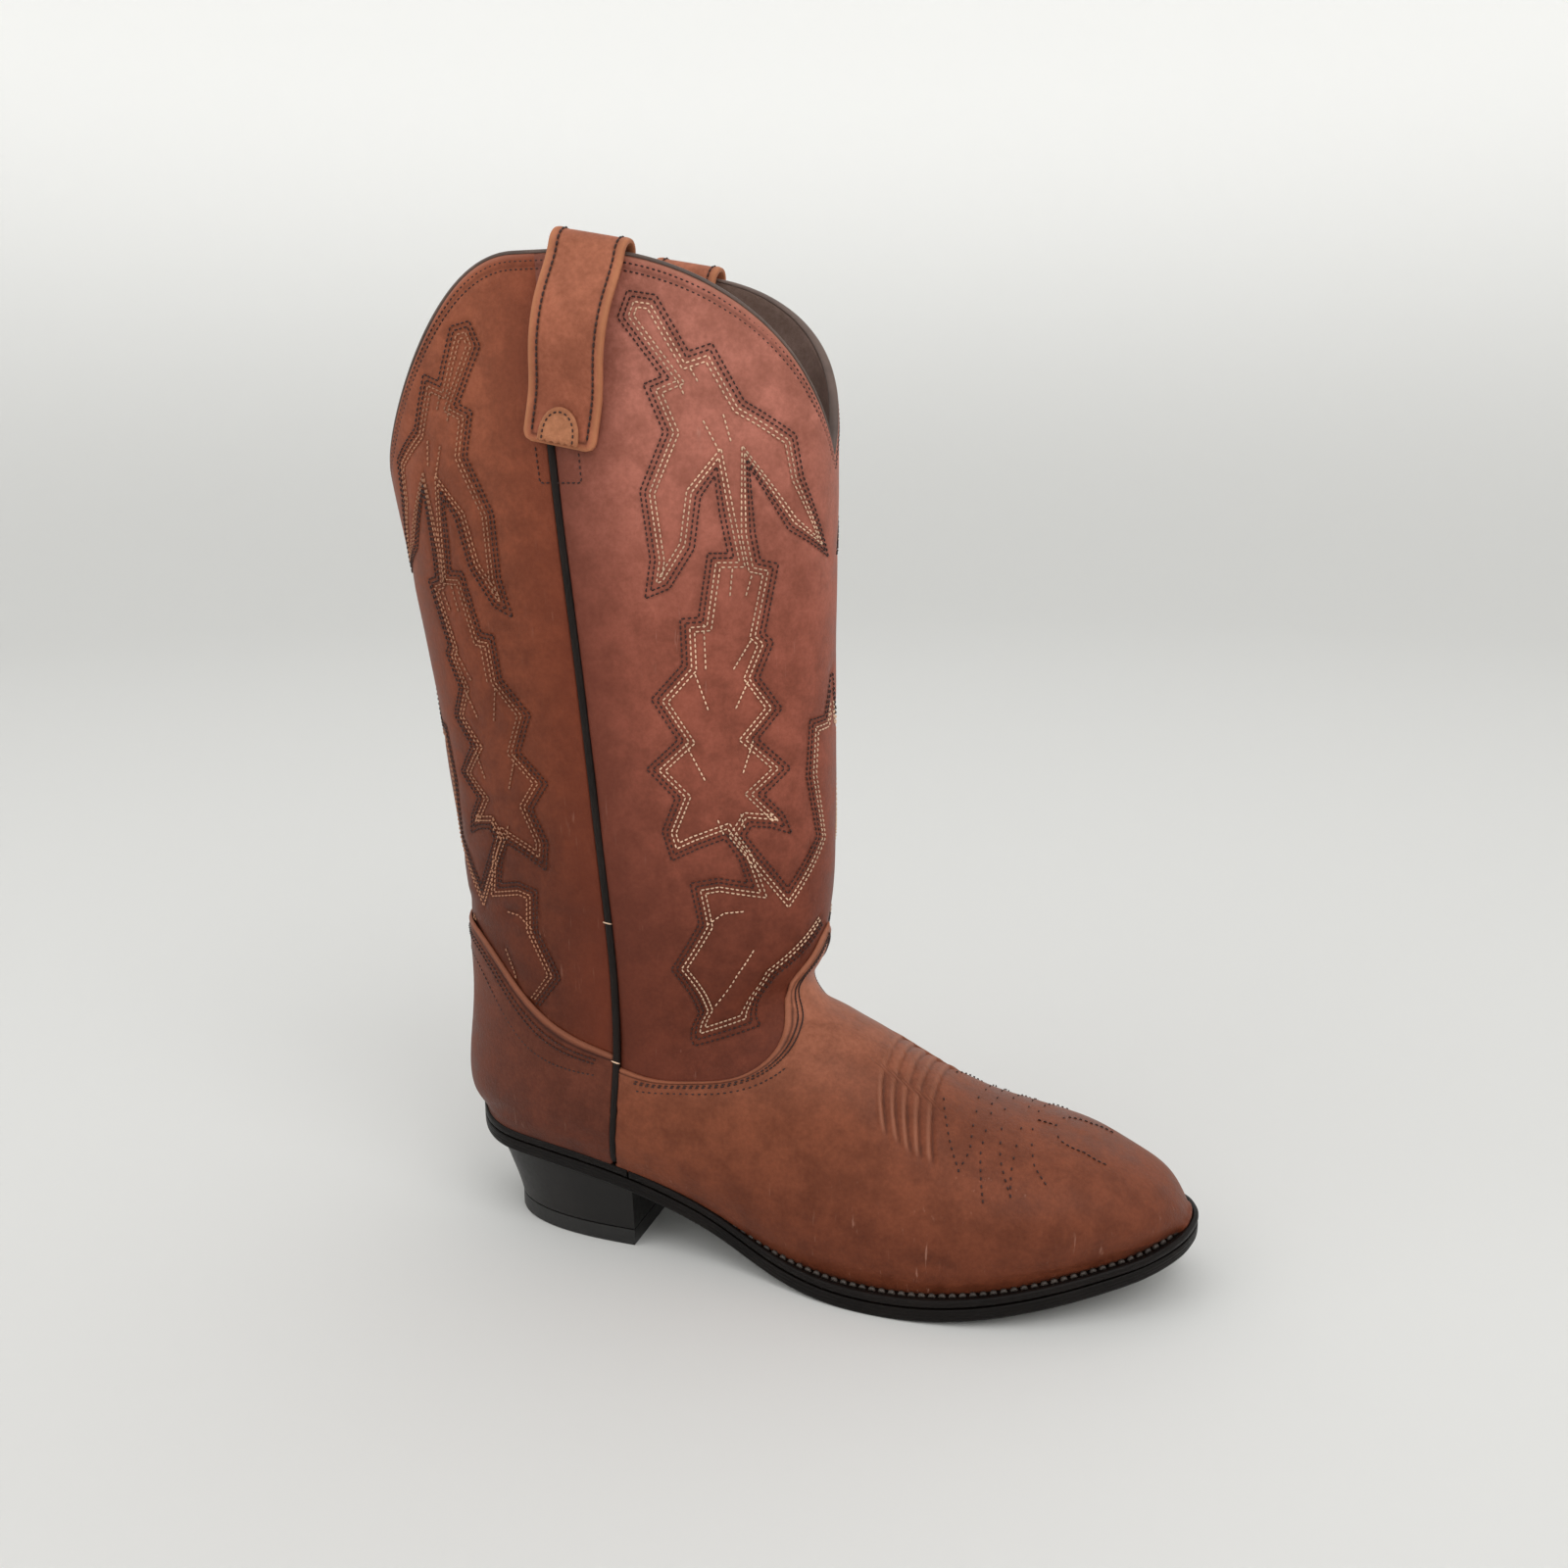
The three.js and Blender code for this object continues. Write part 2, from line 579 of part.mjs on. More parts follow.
const heelRings = [0, 0.25, 0.5, 0.75, 1].map((k) => {
  return heelRing(LIFT_TOP + CLEARANCE + k * (heelSeatZ - LIFT_TOP - CLEARANCE));
});
const ringMiddle = (ring) => new THREE.Vector3(HEEL_BREAST - 30, 0, ring[0].z);
const heelBlock = ringsToSolid(heelRings, ringMiddle(heelRings[0]), ringMiddle(heelRings[4])).subtract(
  sidePrism([...featherLine(soleBottom - CLEARANCE), [400, 200], [-100, 200]]),
);
function shortPrism(outline, bottom, height) {
  const geometry = new THREE.ExtrudeGeometry(new THREE.Shape(outline.map(([x, y]) => new THREE.Vector2(x, y))), {
    depth: height,
    bevelEnabled: false,
  });
  geometry.translate(0, 0, bottom);
  return toSolid(geometry);
}
const liftPlate = shortPrism(heelPlan(HEEL_FOOT.length, HEEL_FOOT.halfWidth, HEEL_STEPS), FLOOR, LIFT_THICKNESS);

function rod(x, y, bottom, top, radius) {
  const geometry = new THREE.CylinderGeometry(radius, radius, top - bottom, 8);
  geometry.rotateX(Math.PI / 2);
  geometry.translate(x, y, (top + bottom) / 2);
  return toSolid(geometry);
}
const featherHeight = (x) => {
  const i = Math.max(1, FEATHER.findIndex((p) => p[0] > x));
  const [a, b] = [FEATHER[i - 1], FEATHER[i]];
  return a[1] + ((x - a[0]) / (b[0] - a[0])) * (b[1] - a[1]);
};
// Nails from under the sock into the heel, and brads through the lift.
const NAIL_PLACES = [[26, 0], [44, 17], [44, -17], [68, 17], [68, -17]];
const BRAD_PLACES = [[30, 0], [40, 18], [40, -18], [72, 22], [72, -22]];
const nailTop = (x) => featherHeight(x) + insoleTop;
const nails = NAIL_PLACES.map(([x, y]) => rod(x, y, nailTop(x) - NAIL_LENGTH, nailTop(x), NAIL_RADIUS));
const nailHoles = NAIL_PLACES.map(([x, y]) => {
  return rod(x, y, nailTop(x) - NAIL_LENGTH - CLEARANCE, nailTop(x) + 20, NAIL_RADIUS + CLEARANCE);
});
const brads = BRAD_PLACES.map(([x, y]) => rod(x, y, FLOOR + BRAD_SUNK, FLOOR + BRAD_LENGTH, BRAD_RADIUS));
const bradHoles = BRAD_PLACES.map(([x, y]) => {
  return rod(x, y, FLOOR - 5, FLOOR + BRAD_LENGTH + CLEARANCE, BRAD_RADIUS + CLEARANCE);
});
const drilled = (solid, holes) => holes.reduce((rest, hole) => rest.subtract(hole), solid);

// ---------------------------------------------------------------- piping and pull straps
// Height above the shaft at which the piping's middle runs: sunk between the panels, higher between vamp and counter.
function pipingLift(z) {
  const sunk = liningOut + CLEARANCE + PIPING_DIAMETER / 2;
  const overFoot = sunk + 1.3;
  return overFoot + (sunk - overFoot) * THREE.MathUtils.smoothstep(z, 80, 125);
}
function piping(side) {
  const bottom = featherHeight(seamX(38)) + LASTING_MARGIN + PIPING_DIAMETER / 2;
  const points = [];
  const steps = 20;
  for (let i = 0; i <= steps; i++) {
    const z = bottom + ((PIPING_TOP - bottom) * i) / steps;
    points.push(sidePoint(seamX(z), z, side, pipingLift(z)));
  }
  const circle = new THREE.Shape();
  circle.absarc(0, 0, PIPING_DIAMETER / 2, 0, Math.PI * 2);
  const geometry = new THREE.ExtrudeGeometry(circle, {
    steps: 20,
    curveSegments: 4,
    bevelEnabled: false,
    extrudePath: new THREE.CatmullRomCurve3(points),
  });
  return toSolid(geometry);
}

// Pull strap as a closed band in the plane of its lean: up outside, over the top line, down inside.
function strapMiddle(side) {
  const foot = sidePoint(TOP_CENTRE - STRAP_SETBACK, BOOT_HEIGHT - STRAP_DROP, side, 0);
  const rise = (BOOT_HEIGHT + CLEARANCE + BINDING_HEIGHT - foot.z) / Math.cos(STRAP_LEAN);
  const topX = foot.x + Math.sin(STRAP_LEAN) * rise;
  const top = sidePoint(topX, BOOT_HEIGHT - 1, side, 0);
  const lowX = foot.x - Math.sin(STRAP_LEAN) * STRAP_INNER_DROP;
  const low = sidePoint(lowX, foot.z - STRAP_INNER_DROP, side, 0);
  const fromFoot = (p) => Math.abs(p.y) - Math.abs(foot.y);
  return { foot, rise, rim: fromFoot(top), waist: Math.min(0, fromFoot(low)) };
}
function strapPath(side) {
  const { rise, rim, waist } = strapMiddle(side);
  const half = STRAP_THICKNESS / 2;
  const wall = -liningIn;
  const round = wall / 2 + half + 1.9;
  const middle = rim - wall / 2;
  const centre = rise - 1.2;
  const footOut = PIPING_DIAMETER / 2 + pipingLift(BOOT_HEIGHT) + CLEARANCE + 0.3 + half;
  const path = [[-1, footOut], [TAB_HEIGHT + 4, footOut], [30, STRAP_STANDOFF + half], [48, STRAP_STANDOFF + half - 0.6]];
  for (let i = 0; i <= 6; i++) {
    const angle = (Math.PI * i) / 6;
    path.push([centre + round * Math.sin(angle), middle + round * Math.cos(angle)]);
  }
  const footIn = -wall - half - STRAP_REST;
  path.push([30, footIn - 1.2], [10, footIn], [-STRAP_INNER_DROP, footIn + waist]);
  return path;
}
// Closed outline of a path with a thickness.
function thickened(path, half) {
  const sides = [1, -1].map((sign) =>
    path.map(([u, v], i) => {
      const before = path[Math.max(0, i - 1)];
      const after = path[Math.min(path.length - 1, i + 1)];
      const run = Math.hypot(after[0] - before[0], after[1] - before[1]);
      return [u - ((after[1] - before[1]) / run) * half * sign, v + ((after[0] - before[0]) / run) * half * sign];
    }),
  );
  return [...sides[0], ...sides[1].reverse()];
}
// Puts a band drawn as (up, out) at the strap's foot, centred on its width.
function onStrap(outline, width, side) {
  const { foot } = strapMiddle(side);
  const up = new THREE.Vector3(Math.sin(STRAP_LEAN), 0, Math.cos(STRAP_LEAN));
  const out = new THREE.Vector3(Math.sin(STRAP_YAW), side * Math.cos(STRAP_YAW), 0);
  out.addScaledVector(up, -out.dot(up)).normalize();
  const across = new THREE.Vector3().crossVectors(up, out);
  const geometry = new THREE.ExtrudeGeometry(new THREE.Shape(outline.map(([u, v]) => new THREE.Vector2(u, v))), {
    depth: width,
    bevelEnabled: false,
  });
  geometry.translate(0, 0, -width / 2);
  geometry.applyMatrix4(new THREE.Matrix4().makeBasis(up, out, across).setPosition(foot));
  return toSolid(geometry);
}
function pullStrap(side) {
  return onStrap(thickened(strapPath(side), STRAP_THICKNESS / 2), STRAP_WIDTH, side);
}
// Half-round tab sewn over the end of the strap.
function strapTab(side) {
  const rest = strapPath(side)[0][1] + STRAP_THICKNESS / 2 + CLEARANCE;
  const top = rest + TAB_THICKNESS;
  const flat = onStrap([[0, rest], [0, top], [TAB_HEIGHT, top], [TAB_HEIGHT, rest]], TAB_WIDTH, side);
  const { foot } = strapMiddle(side);
  const arch = [];
  for (let i = 0; i <= 10; i++) {
    const angle = (Math.PI * i) / 10;
    const across = (TAB_WIDTH / 2) * Math.cos(angle);
    const up = TAB_HEIGHT * Math.sin(angle) ** 0.8;
    arch.push([
      foot.x + Math.sin(STRAP_LEAN) * up + Math.cos(STRAP_LEAN) * across,
      foot.z + Math.cos(STRAP_LEAN) * up - Math.sin(STRAP_LEAN) * across,
    ]);
  }
  return flat.intersect(sidePrism(arch));
}

// ---------------------------------------------------------------- materials and pieces
const finish = (color, roughness, metalness = 0) => new THREE.MeshStandardMaterial({ color, roughness, metalness });
const FINISHES = {
  shaft: () => finish(0x8a4a38, 0.6),
  foot: () => finish(0x7d4330, 0.62),
  strap: () => finish(0x9a6341, 0.65),
  lining: () => finish(0xb08a62, 0.8),
  black: () => finish(0x1b1918, 0.5),
  board: () => finish(0xa98f6b, 0.85),
  cork: () => finish(0x8c6a44, 0.9),
  steel: () => finish(0x9aa0a6, 0.35, 0.9),
};

const boot = new THREE.Group();
function addPiece(name, solid, material) {
  const mesh = solid.getMesh();
  const positions = new Float32Array(mesh.numVert * 3);
  for (let i = 0; i < mesh.numVert; i++) {
    positions.set(mesh.vertProperties.subarray(i * mesh.numProp, i * mesh.numProp + 3), i * 3);
  }
  const geometry = new THREE.BufferGeometry().setAttribute("position", new THREE.BufferAttribute(positions, 3));
  geometry.setIndex(new THREE.BufferAttribute(new Uint32Array(mesh.triVerts), 1));
  geometry.computeVertexNormals();
  const piece = new THREE.Mesh(geometry, FINISHES[material]());
  piece.name = name;
  boot.add(piece);
}

const shaftTrimmed = shaftLayer.intersect(underTopLine);
const liningTrimmed = liningLayer.intersect(underTopLine);
addPiece("front_shaft_panel", shaftTrimmed.intersect(beforeSeam).subtract(underVamp), "shaft");
addPiece("back_shaft_panel", shaftTrimmed.intersect(behindSeam).subtract(underCounter), "shaft");
addPiece("vamp", footLayer.intersect(beforeSeam).intersect(vampRegion), "foot");
addPiece("counter_cover", footLayer.intersect(behindSeam).intersect(counterRegion), "foot");
addPiece("front_shaft_lining", liningTrimmed.intersect(beforeSeam).subtract(underVamp), "lining");
addPiece("back_shaft_lining", liningTrimmed.intersect(behindSeam), "lining");
addPiece("vamp_lining", liningLayer.intersect(beforeSeam).intersect(footLiningRegion), "lining");
addPiece("heel_counter_stiffener", shaftLayer.intersect(behindSeam).intersect(stiffenerRegion), "board");
addPiece("toe_box_stiffener", shaftLayer.intersect(toeRegion), "board");
addPiece("top_binding", rimLayer.intersect(overTopLine), "black");
for (const [label, side] of [["lateral", -1], ["medial", 1]]) {
  addPiece(label + "_side_piping", piping(side), "black");
  addPiece(label + "_pull_strap", pullStrap(side), "strap");
  addPiece(label + "_strap_tab", strapTab(side), "strap");
}
addPiece("sock_lining", sockPlate, "lining");
addPiece("insole", drilled(insolePlate, nailHoles), "board");
addPiece("cork_filler", drilled(fillerPlate, nailHoles).subtract(shankSolid(CLEARANCE)), "cork");
addPiece("steel_shank", drilled(shank, nailHoles), "steel");
addPiece("welt", weltRing.intersect(beforeBreast), "black");
addPiece("heel_rand", weltRing.intersect(behindBreast), "black");
addPiece("outsole", drilled(outsolePlate, nailHoles), "black");
addPiece("heel_base", drilled(drilled(heelBlock, nailHoles), bradHoles), "black");
addPiece("heel_lift", drilled(liftPlate, bradHoles), "black");
nails.forEach((nail, i) => addPiece("heel_nail_" + (i + 1), nail, "steel"));
brads.forEach((brad, i) => addPiece("lift_brad_" + (i + 1), brad, "steel"));

// The origin is on the floor under the middle of the boot.
const box = new THREE.Box3().setFromObject(boot);
boot.position.set(-(box.min.x + box.max.x) / 2, -(box.min.y + box.max.y) / 2, -box.min.z);

export default boot;
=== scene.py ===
"""Tall western boot, right foot: fine surfaces for every piece that shows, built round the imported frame."""

from types import SimpleNamespace

import bpy
import numpy as np
from bpy.props import FloatProperty, FloatVectorProperty, IntProperty, PointerProperty
from mathutils import Euler, Matrix, Vector


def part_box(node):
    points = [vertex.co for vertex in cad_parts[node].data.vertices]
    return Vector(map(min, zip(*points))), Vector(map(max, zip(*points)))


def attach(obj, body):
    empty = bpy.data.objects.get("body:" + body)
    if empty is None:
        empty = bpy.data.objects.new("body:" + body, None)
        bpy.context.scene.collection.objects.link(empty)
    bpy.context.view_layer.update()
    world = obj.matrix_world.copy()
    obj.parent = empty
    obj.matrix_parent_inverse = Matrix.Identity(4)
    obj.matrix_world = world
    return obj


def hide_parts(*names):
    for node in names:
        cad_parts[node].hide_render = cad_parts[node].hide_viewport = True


bl_info = {
    "name": "Western Boot",
    "version": (1, 0, 0),
    "blender": (4, 5, 0),
    "location": "3D View > Sidebar > Boot",
    "description": "Builds the leather, stitching, sole and heel of a tall western boot",
    "category": "Object",
}

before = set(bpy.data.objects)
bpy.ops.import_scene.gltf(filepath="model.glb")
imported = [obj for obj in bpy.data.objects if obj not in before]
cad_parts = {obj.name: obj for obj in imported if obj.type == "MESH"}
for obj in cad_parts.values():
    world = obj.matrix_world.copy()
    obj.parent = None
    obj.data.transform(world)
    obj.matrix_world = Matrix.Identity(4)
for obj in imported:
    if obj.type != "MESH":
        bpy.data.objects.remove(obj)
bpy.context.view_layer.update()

MM = 0.001
HEEL_BREAST = 82.0  # design x of the heel's front face, in millimetres as all sizes below
FLOOR = 0.15  # design height of the floor under the ball and the heel lift


def frame_shift():
    """Design millimetres to row millimetres: the heel lift's front face and underside tie the two together."""
    low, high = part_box("heel_lift")
    return np.array([high.x / MM - HEEL_BREAST, 0.0, low.z / MM - FLOOR])


SHIFT = frame_shift()

# ------------------------------------------------------------------ the last
# Bottom or back point (x, z), front point (x, z), half breadth, half breadth at the feather line,
# sideways offset, and the share of the section where it is widest.
STATIONS = np.array(
    [
        [-28, 372, 153, 372, 46, 0, 0, 0.5],
        [-20, 300, 154, 300, 46.5, 0, 0, 0.5],
        [-8, 230, 153, 230, 44, 0, 0, 0.5],
        [-1, 170, 153.5, 170, 41, 0, 0, 0.5],
        [4, 120, 151.5, 133, 38.5, 0, 0, 0.48],
        [3.5, 82, 147, 116, 37, 0, 0, 0.44],
        [5.5, 47, 144, 104, 37, 3, 0, 0.4],
        [14.5, 44, 147, 99, 37.5, 20, 0, 0.38],
        [37, 41, 152.5, 95, 38, 31, 0, 0.34],
        [74.5, 36, 162.5, 91, 38.5, 33, -1, 0.32],
        [111, 24.5, 176, 84, 39.5, 32, -1, 0.32],
        [141, 12.5, 192.5, 74, 43, 36.5, 0, 0.32],
        [175, 8.5, 212, 64, 47, 43.5, 1, 0.32],
        [209, 10, 233, 58, 46.5, 44, 2, 0.32],
        [238, 14.5, 253.5, 53, 40, 38, 4, 0.34],
        [261, 19, 271.5, 44.5, 30, 28, 6, 0.36],
        [275.5, 22.5, 283.5, 36, 20, 19, 7.5, 0.38],
        [282.5, 24.5, 288.5, 28, 11, 10.5, 8, 0.4],
    ]
)
RISE_POWER = 2.3  # roundness of a section below its widest point
FALL_POWER = 2.2  # and above it
TOE_POLE = 3.0
CLOSED_STATION = 5  # the last section that is a closed ring


def natural_spline(knots, rows):
    """Natural cubic through the rows: the bends solve one tridiagonal system, and each span blends its two ends."""
    knots = np.asarray(knots, float)
    rows = np.asarray(rows, float)
    step = np.diff(knots)[:, None]
    inner = np.diag(2 * (step[:-1, 0] + step[1:, 0])) + np.diag(step[1:-1, 0], 1) + np.diag(step[1:-1, 0], -1)
    slope = np.diff(rows, axis=0) / step
    bend = np.zeros_like(rows)
    bend[1:-1] = np.linalg.solve(inner, 6 * np.diff(slope, axis=0))

    def at(where):
        where = np.asarray(where, float)
        span = np.clip(np.searchsorted(knots, where, side="right") - 1, 0, len(knots) - 2)
        h = step[span]
        past = (where - knots[span])[..., None]
        left = h - past
        curved = (bend[span] * left**3 + bend[span + 1] * past**3) / (6 * h)
        return (
            curved
            + (rows[span] / h - bend[span] * h / 6) * left
            + (rows[span + 1] / h - bend[span + 1] * h / 6) * past
        )

    return at


def run_length(line):
    """Distance run along a line's points, starting at nothing."""
    return np.concatenate([[0], np.cumsum(np.linalg.norm(np.diff(line, axis=0), axis=1))])


def point_at(line, run, at):
    """Points of a line at given distances along it, each coordinate interpolated."""
    return np.stack([np.interp(at, run, line[:, k]) for k in range(line.shape[1])], -1)


def travel(rows):
    """Mean distance that the two end points of the sections have moved, summed from the first section."""
    ends = np.diff(rows[:, :4], axis=0)
    step = (np.hypot(ends[:, 0], ends[:, 1]) + np.hypot(ends[:, 2], ends[:, 3])) / 2
    return np.concatenate([[0], np.cumsum(step)])


KNOTS = travel(STATIONS)
TOE = KNOTS[-1]
CLOSED = KNOTS[CLOSED_STATION]
section = natural_spline(KNOTS, STATIONS)


def section_rows(t):
    """The section's numbers at t, with the feather breadth kept between nothing and just under the full breadth."""
    row = section(np.clip(t, 0, TOE))
    feather = np.where(t <= CLOSED, 0, np.clip(row[..., 5], 0, row[..., 4] * 0.99))
    return np.moveaxis(row, -1, 0), feather


def fold(around):
    """around runs -1 to 1 up the outer side from the feather or the back to the front ridge, and 1 to 3 down the
    inner side. Returns the turn from -1 to 1 and the side, -1 outer and 1 inner."""
    around = np.where(around < -1, around + 4, around)
    around = np.where(around > 3, around - 4, around)
    return np.where(around <= 1, around, 2 - around), np.where(around <= 1, -1.0, 1.0)


def last_point(t, around):
    """A section is two superellipse quarters, one below and one above its widest share, swept by an angle."""
    turn, side = fold(around)
    (gx, gz, fx, fz, half, _, offset, widest), feather = section_rows(t)
    foot = (1 - (feather / half) ** RISE_POWER) ** (1 / RISE_POWER)
    lower = turn < 0
    power = np.where(lower, RISE_POWER, FALL_POWER)
    full = np.where(lower, np.arcsin(np.clip(foot, 0, 1) ** (RISE_POWER / 2)), np.pi / 2)
    angle = np.abs(turn) * full
    along = np.sin(angle) ** (2 / power)
    share = np.where(lower, widest * (1 - along / foot), widest + (1 - widest) * along)
    out = half * np.clip(np.cos(angle), 0, None) ** (2 / power)
    return np.stack([gx + (fx - gx) * share, offset + side * out, gz + (fz - gz) * share], -1)


def last_normal(t, around):
    """Cross product of the two differences of the surface, closed over the ridge and over a closed back."""
    t, around = np.broadcast_arrays(np.asarray(t, float), np.asarray(around, float))
    around = np.where(around < -1, around + 4, around)
    dt, da = 0.5, 0.012
    low = np.where(t <= CLOSED, around - da, np.maximum(around - da, -1))
    high = np.where(t <= CLOSED, around + da, np.minimum(around + da, 3))
    along = last_point(np.minimum(t + dt, TOE), around) - last_point(np.maximum(t - dt, 0), around)
    across = last_point(t, high) - last_point(t, low)
    normal = np.cross(along, across)
    return normal / np.maximum(np.linalg.norm(normal, axis=-1, keepdims=True), 1e-9)


def skin(t, around, lift=0.0):
    """The last's surface moved out along its normal."""
    return last_point(t, around) + last_normal(t, around) * np.asarray(lift)[..., None]


def share_to_turn(t, share):
    """Inverse of the section's quarter arcs: how far a share is turned from the widest point."""
    rows, feather = section_rows(t)
    half, widest = rows[4], rows[7]
    foot = (1 - (feather / half) ** RISE_POWER) ** (1 / RISE_POWER)
    lower = share < widest
    q = np.where(lower, foot * (1 - share / widest), (share - widest) / (1 - widest))
    power = np.where(lower, RISE_POWER, FALL_POWER)
    full = np.where(lower, np.arcsin(np.clip(foot, 0, 1) ** (RISE_POWER / 2)), np.pi / 2)
    angle = np.arcsin(np.clip(q, 0, 1) ** (power / 2))
    return np.clip(np.where(lower, -1, 1) * angle / full, -1, 1)


def locate(x, z):
    """Section and turn of a side-view point: halving finds the section line through it, and the point's share of
    that line gives the turn."""
    x, z = np.broadcast_arrays(np.asarray(x, float), np.asarray(z, float))
    low, high = np.zeros(x.shape), np.full(x.shape, TOE)
    for _ in range(40):
        mid = (low + high) / 2
        (gx, gz, fx, fz, *_rest), _f = section_rows(mid)
        before = (fx - gx) * (z - gz) - (fz - gz) * (x - gx) < 0
        low, high = np.where(before, mid, low), np.where(before, high, mid)
    (gx, gz, fx, fz, *_rest), _f = section_rows(low)
    share = ((x - gx) * (fx - gx) + (z - gz) * (fz - gz)) / ((fx - gx) ** 2 + (fz - gz) ** 2)
    return low, share_to_turn(low, np.clip(share, 0, 1))


def root(function, low, high, steps=36):
    """Halving between low, where the function is negative, and high, where it is positive."""
    for _ in range(steps):
        mid = (low + high) / 2
        below = function(mid) < 0
        low, high = np.where(below, mid, low), np.where(below, high, mid)
    return (low + high) / 2


# ------------------------------------------------------------------ lines drawn on the last
SEAM = natural_spline(
    [30, 58, 83, 120, 170, 230, 300, 372], [[76], [78], [79], [79], [76.3], [72.5], [67], [62.5]]
)
TOP_HEIGHT, TOP_CENTRE = 371.0, 78.0
FRONT_SCALLOP, BACK_SCALLOP = 66.0, 76.0
FRONT_REACH, BACK_REACH = 76.0, 105.0


def seam_x(z):
    """The seam's place along the boot at a height."""
    return SEAM(z)[..., 0]


def top_line(x):
    """Highest at the straps: it falls to the front as a power of the turned share, and to the back in a half wave."""
    front = x > TOP_CENTRE
    share = np.clip(np.abs(x - TOP_CENTRE) / np.where(front, FRONT_REACH, BACK_REACH), 0, 1)
    turned = np.arcsin(share) / (np.pi / 2)
    wave = np.clip((turned - 0.147) / 0.653, 0, 1)
    fall = np.where(front, FRONT_SCALLOP * turned**1.85, BACK_SCALLOP * (1 - np.cos(np.pi * wave)) / 2)
    return TOP_HEIGHT - fall


def curve_through(points, steps):
    """Natural cubic through given points, by the distance between them, sampled evenly."""
    points = np.asarray(points, float)
    knots = run_length(points)
    return natural_spline(knots, points)(np.linspace(0, knots[-1], steps))


VAMP_EDGE = curve_through(
    [[79.5, 77.5], [92, 74.5], [110, 75], [130, 79.5], [140, 90], [139, 107], [146, 118], [151.5, 131]], 240
)
COUNTER_EDGE = curve_through([[-24, 127], [3, 125.5], [14, 123], [36, 105], [56, 90], [80, 81.5]], 160)


def turn_table():
    """Turn of the seam at each section, so that panels can start on it."""
    t = np.linspace(0, KNOTS[9] + 1, 400)
    (gx, gz, fx, fz, *_rest), _f = section_rows(t)
    share = root(lambda a: gx + (fx - gx) * a - seam_x(gz + (fz - gz) * a), np.zeros_like(t), np.ones_like(t))
    return t, share_to_turn(t, share)


SEAM_T, SEAM_TURN = turn_table()


def seam_turn(t):
    """The seam's turn at a section."""
    return np.interp(t, SEAM_T, SEAM_TURN)


class SurfaceMap:
    """Tables of height and of distance from the seam over the upper's surface, and their inverse."""

    def __init__(self):
        self.t = np.linspace(0, TOE, 640)
        self.turn = np.linspace(-1, 1, 321)
        points = last_point(self.t[:, None], self.turn[None, :])
        self.height = points[..., 2]
        run = np.linalg.norm(np.diff(points, axis=1), axis=-1)
        arc = np.concatenate([np.zeros((len(self.t), 1)), np.cumsum(run, axis=1)], axis=1)
        middle = share_to_turn(self.t, np.full(len(self.t), 0.5))
        base = np.array([np.interp(m, self.turn, row) for m, row in zip(middle, arc)])
        self.arc = arc - base[:, None]

    def read(self, table, t, turn):
        """Bilinear look-up."""
        i = np.clip((t - self.t[0]) / (self.t[1] - self.t[0]), 0, len(self.t) - 1.001)
        j = np.clip((turn - self.turn[0]) / (self.turn[1] - self.turn[0]), 0, len(self.turn) - 1.001)
        i0, j0 = i.astype(int), j.astype(int)
        fi, fj = i - i0, j - j0
        near = table[i0, j0] * (1 - fj) + table[i0, j0 + 1] * fj
        far = table[i0 + 1, j0] * (1 - fj) + table[i0 + 1, j0 + 1] * fj
        return near * (1 - fi) + far * fi

    def turn_at(self, t, arc):
        """Turn that lies a distance along the section, by Newton steps."""
        slope = np.gradient(self.arc, self.turn, axis=1)
        turn = np.full(np.shape(t), 0.2)
        for _ in range(14):
            miss = self.read(self.arc, t, turn) - arc
            turn = np.clip(turn - miss / np.maximum(self.read(slope, t, turn), 5), -1, 1)
        return turn

    def find(self, arc, height):
        """Newton steps on the two tables together."""
        upper = self.t < KNOTS[10]
        t = np.interp(-height, -self.height[upper, 160], self.t[upper])
        turn = np.full(np.shape(t), 0.2)
        slopes = [np.gradient(table, self.t, self.turn) for table in (self.height, self.arc)]
        for _ in range(12):
            miss_h = self.read(self.height, t, turn) - height
            miss_a = self.read(self.arc, t, turn) - arc
            ht, hw = (self.read(s, t, turn) for s in slopes[0])
            at, aw = (self.read(s, t, turn) for s in slopes[1])
            scale = ht * aw - hw * at
            t = np.clip(t - (miss_h * aw - miss_a * hw) / scale, 0, KNOTS[8])
            turn = np.clip(turn - (miss_a * ht - miss_h * at) / scale, -0.995, 0.995)
        return t, turn


SURFACE = SurfaceMap()

# ------------------------------------------------------------------ mesh tools


def signed_volume(points, face_arrays):
    """Six times the volume inside the faces, each cut into a fan of triangles: negative when they face inwards."""
    total = 0.0
    for faces in face_arrays:
        corners = points[np.asarray(faces)]
        for k in range(1, corners.shape[1] - 1):
            total += (corners[:, 0] * np.cross(corners[:, k], corners[:, k + 1])).sum()
    return total


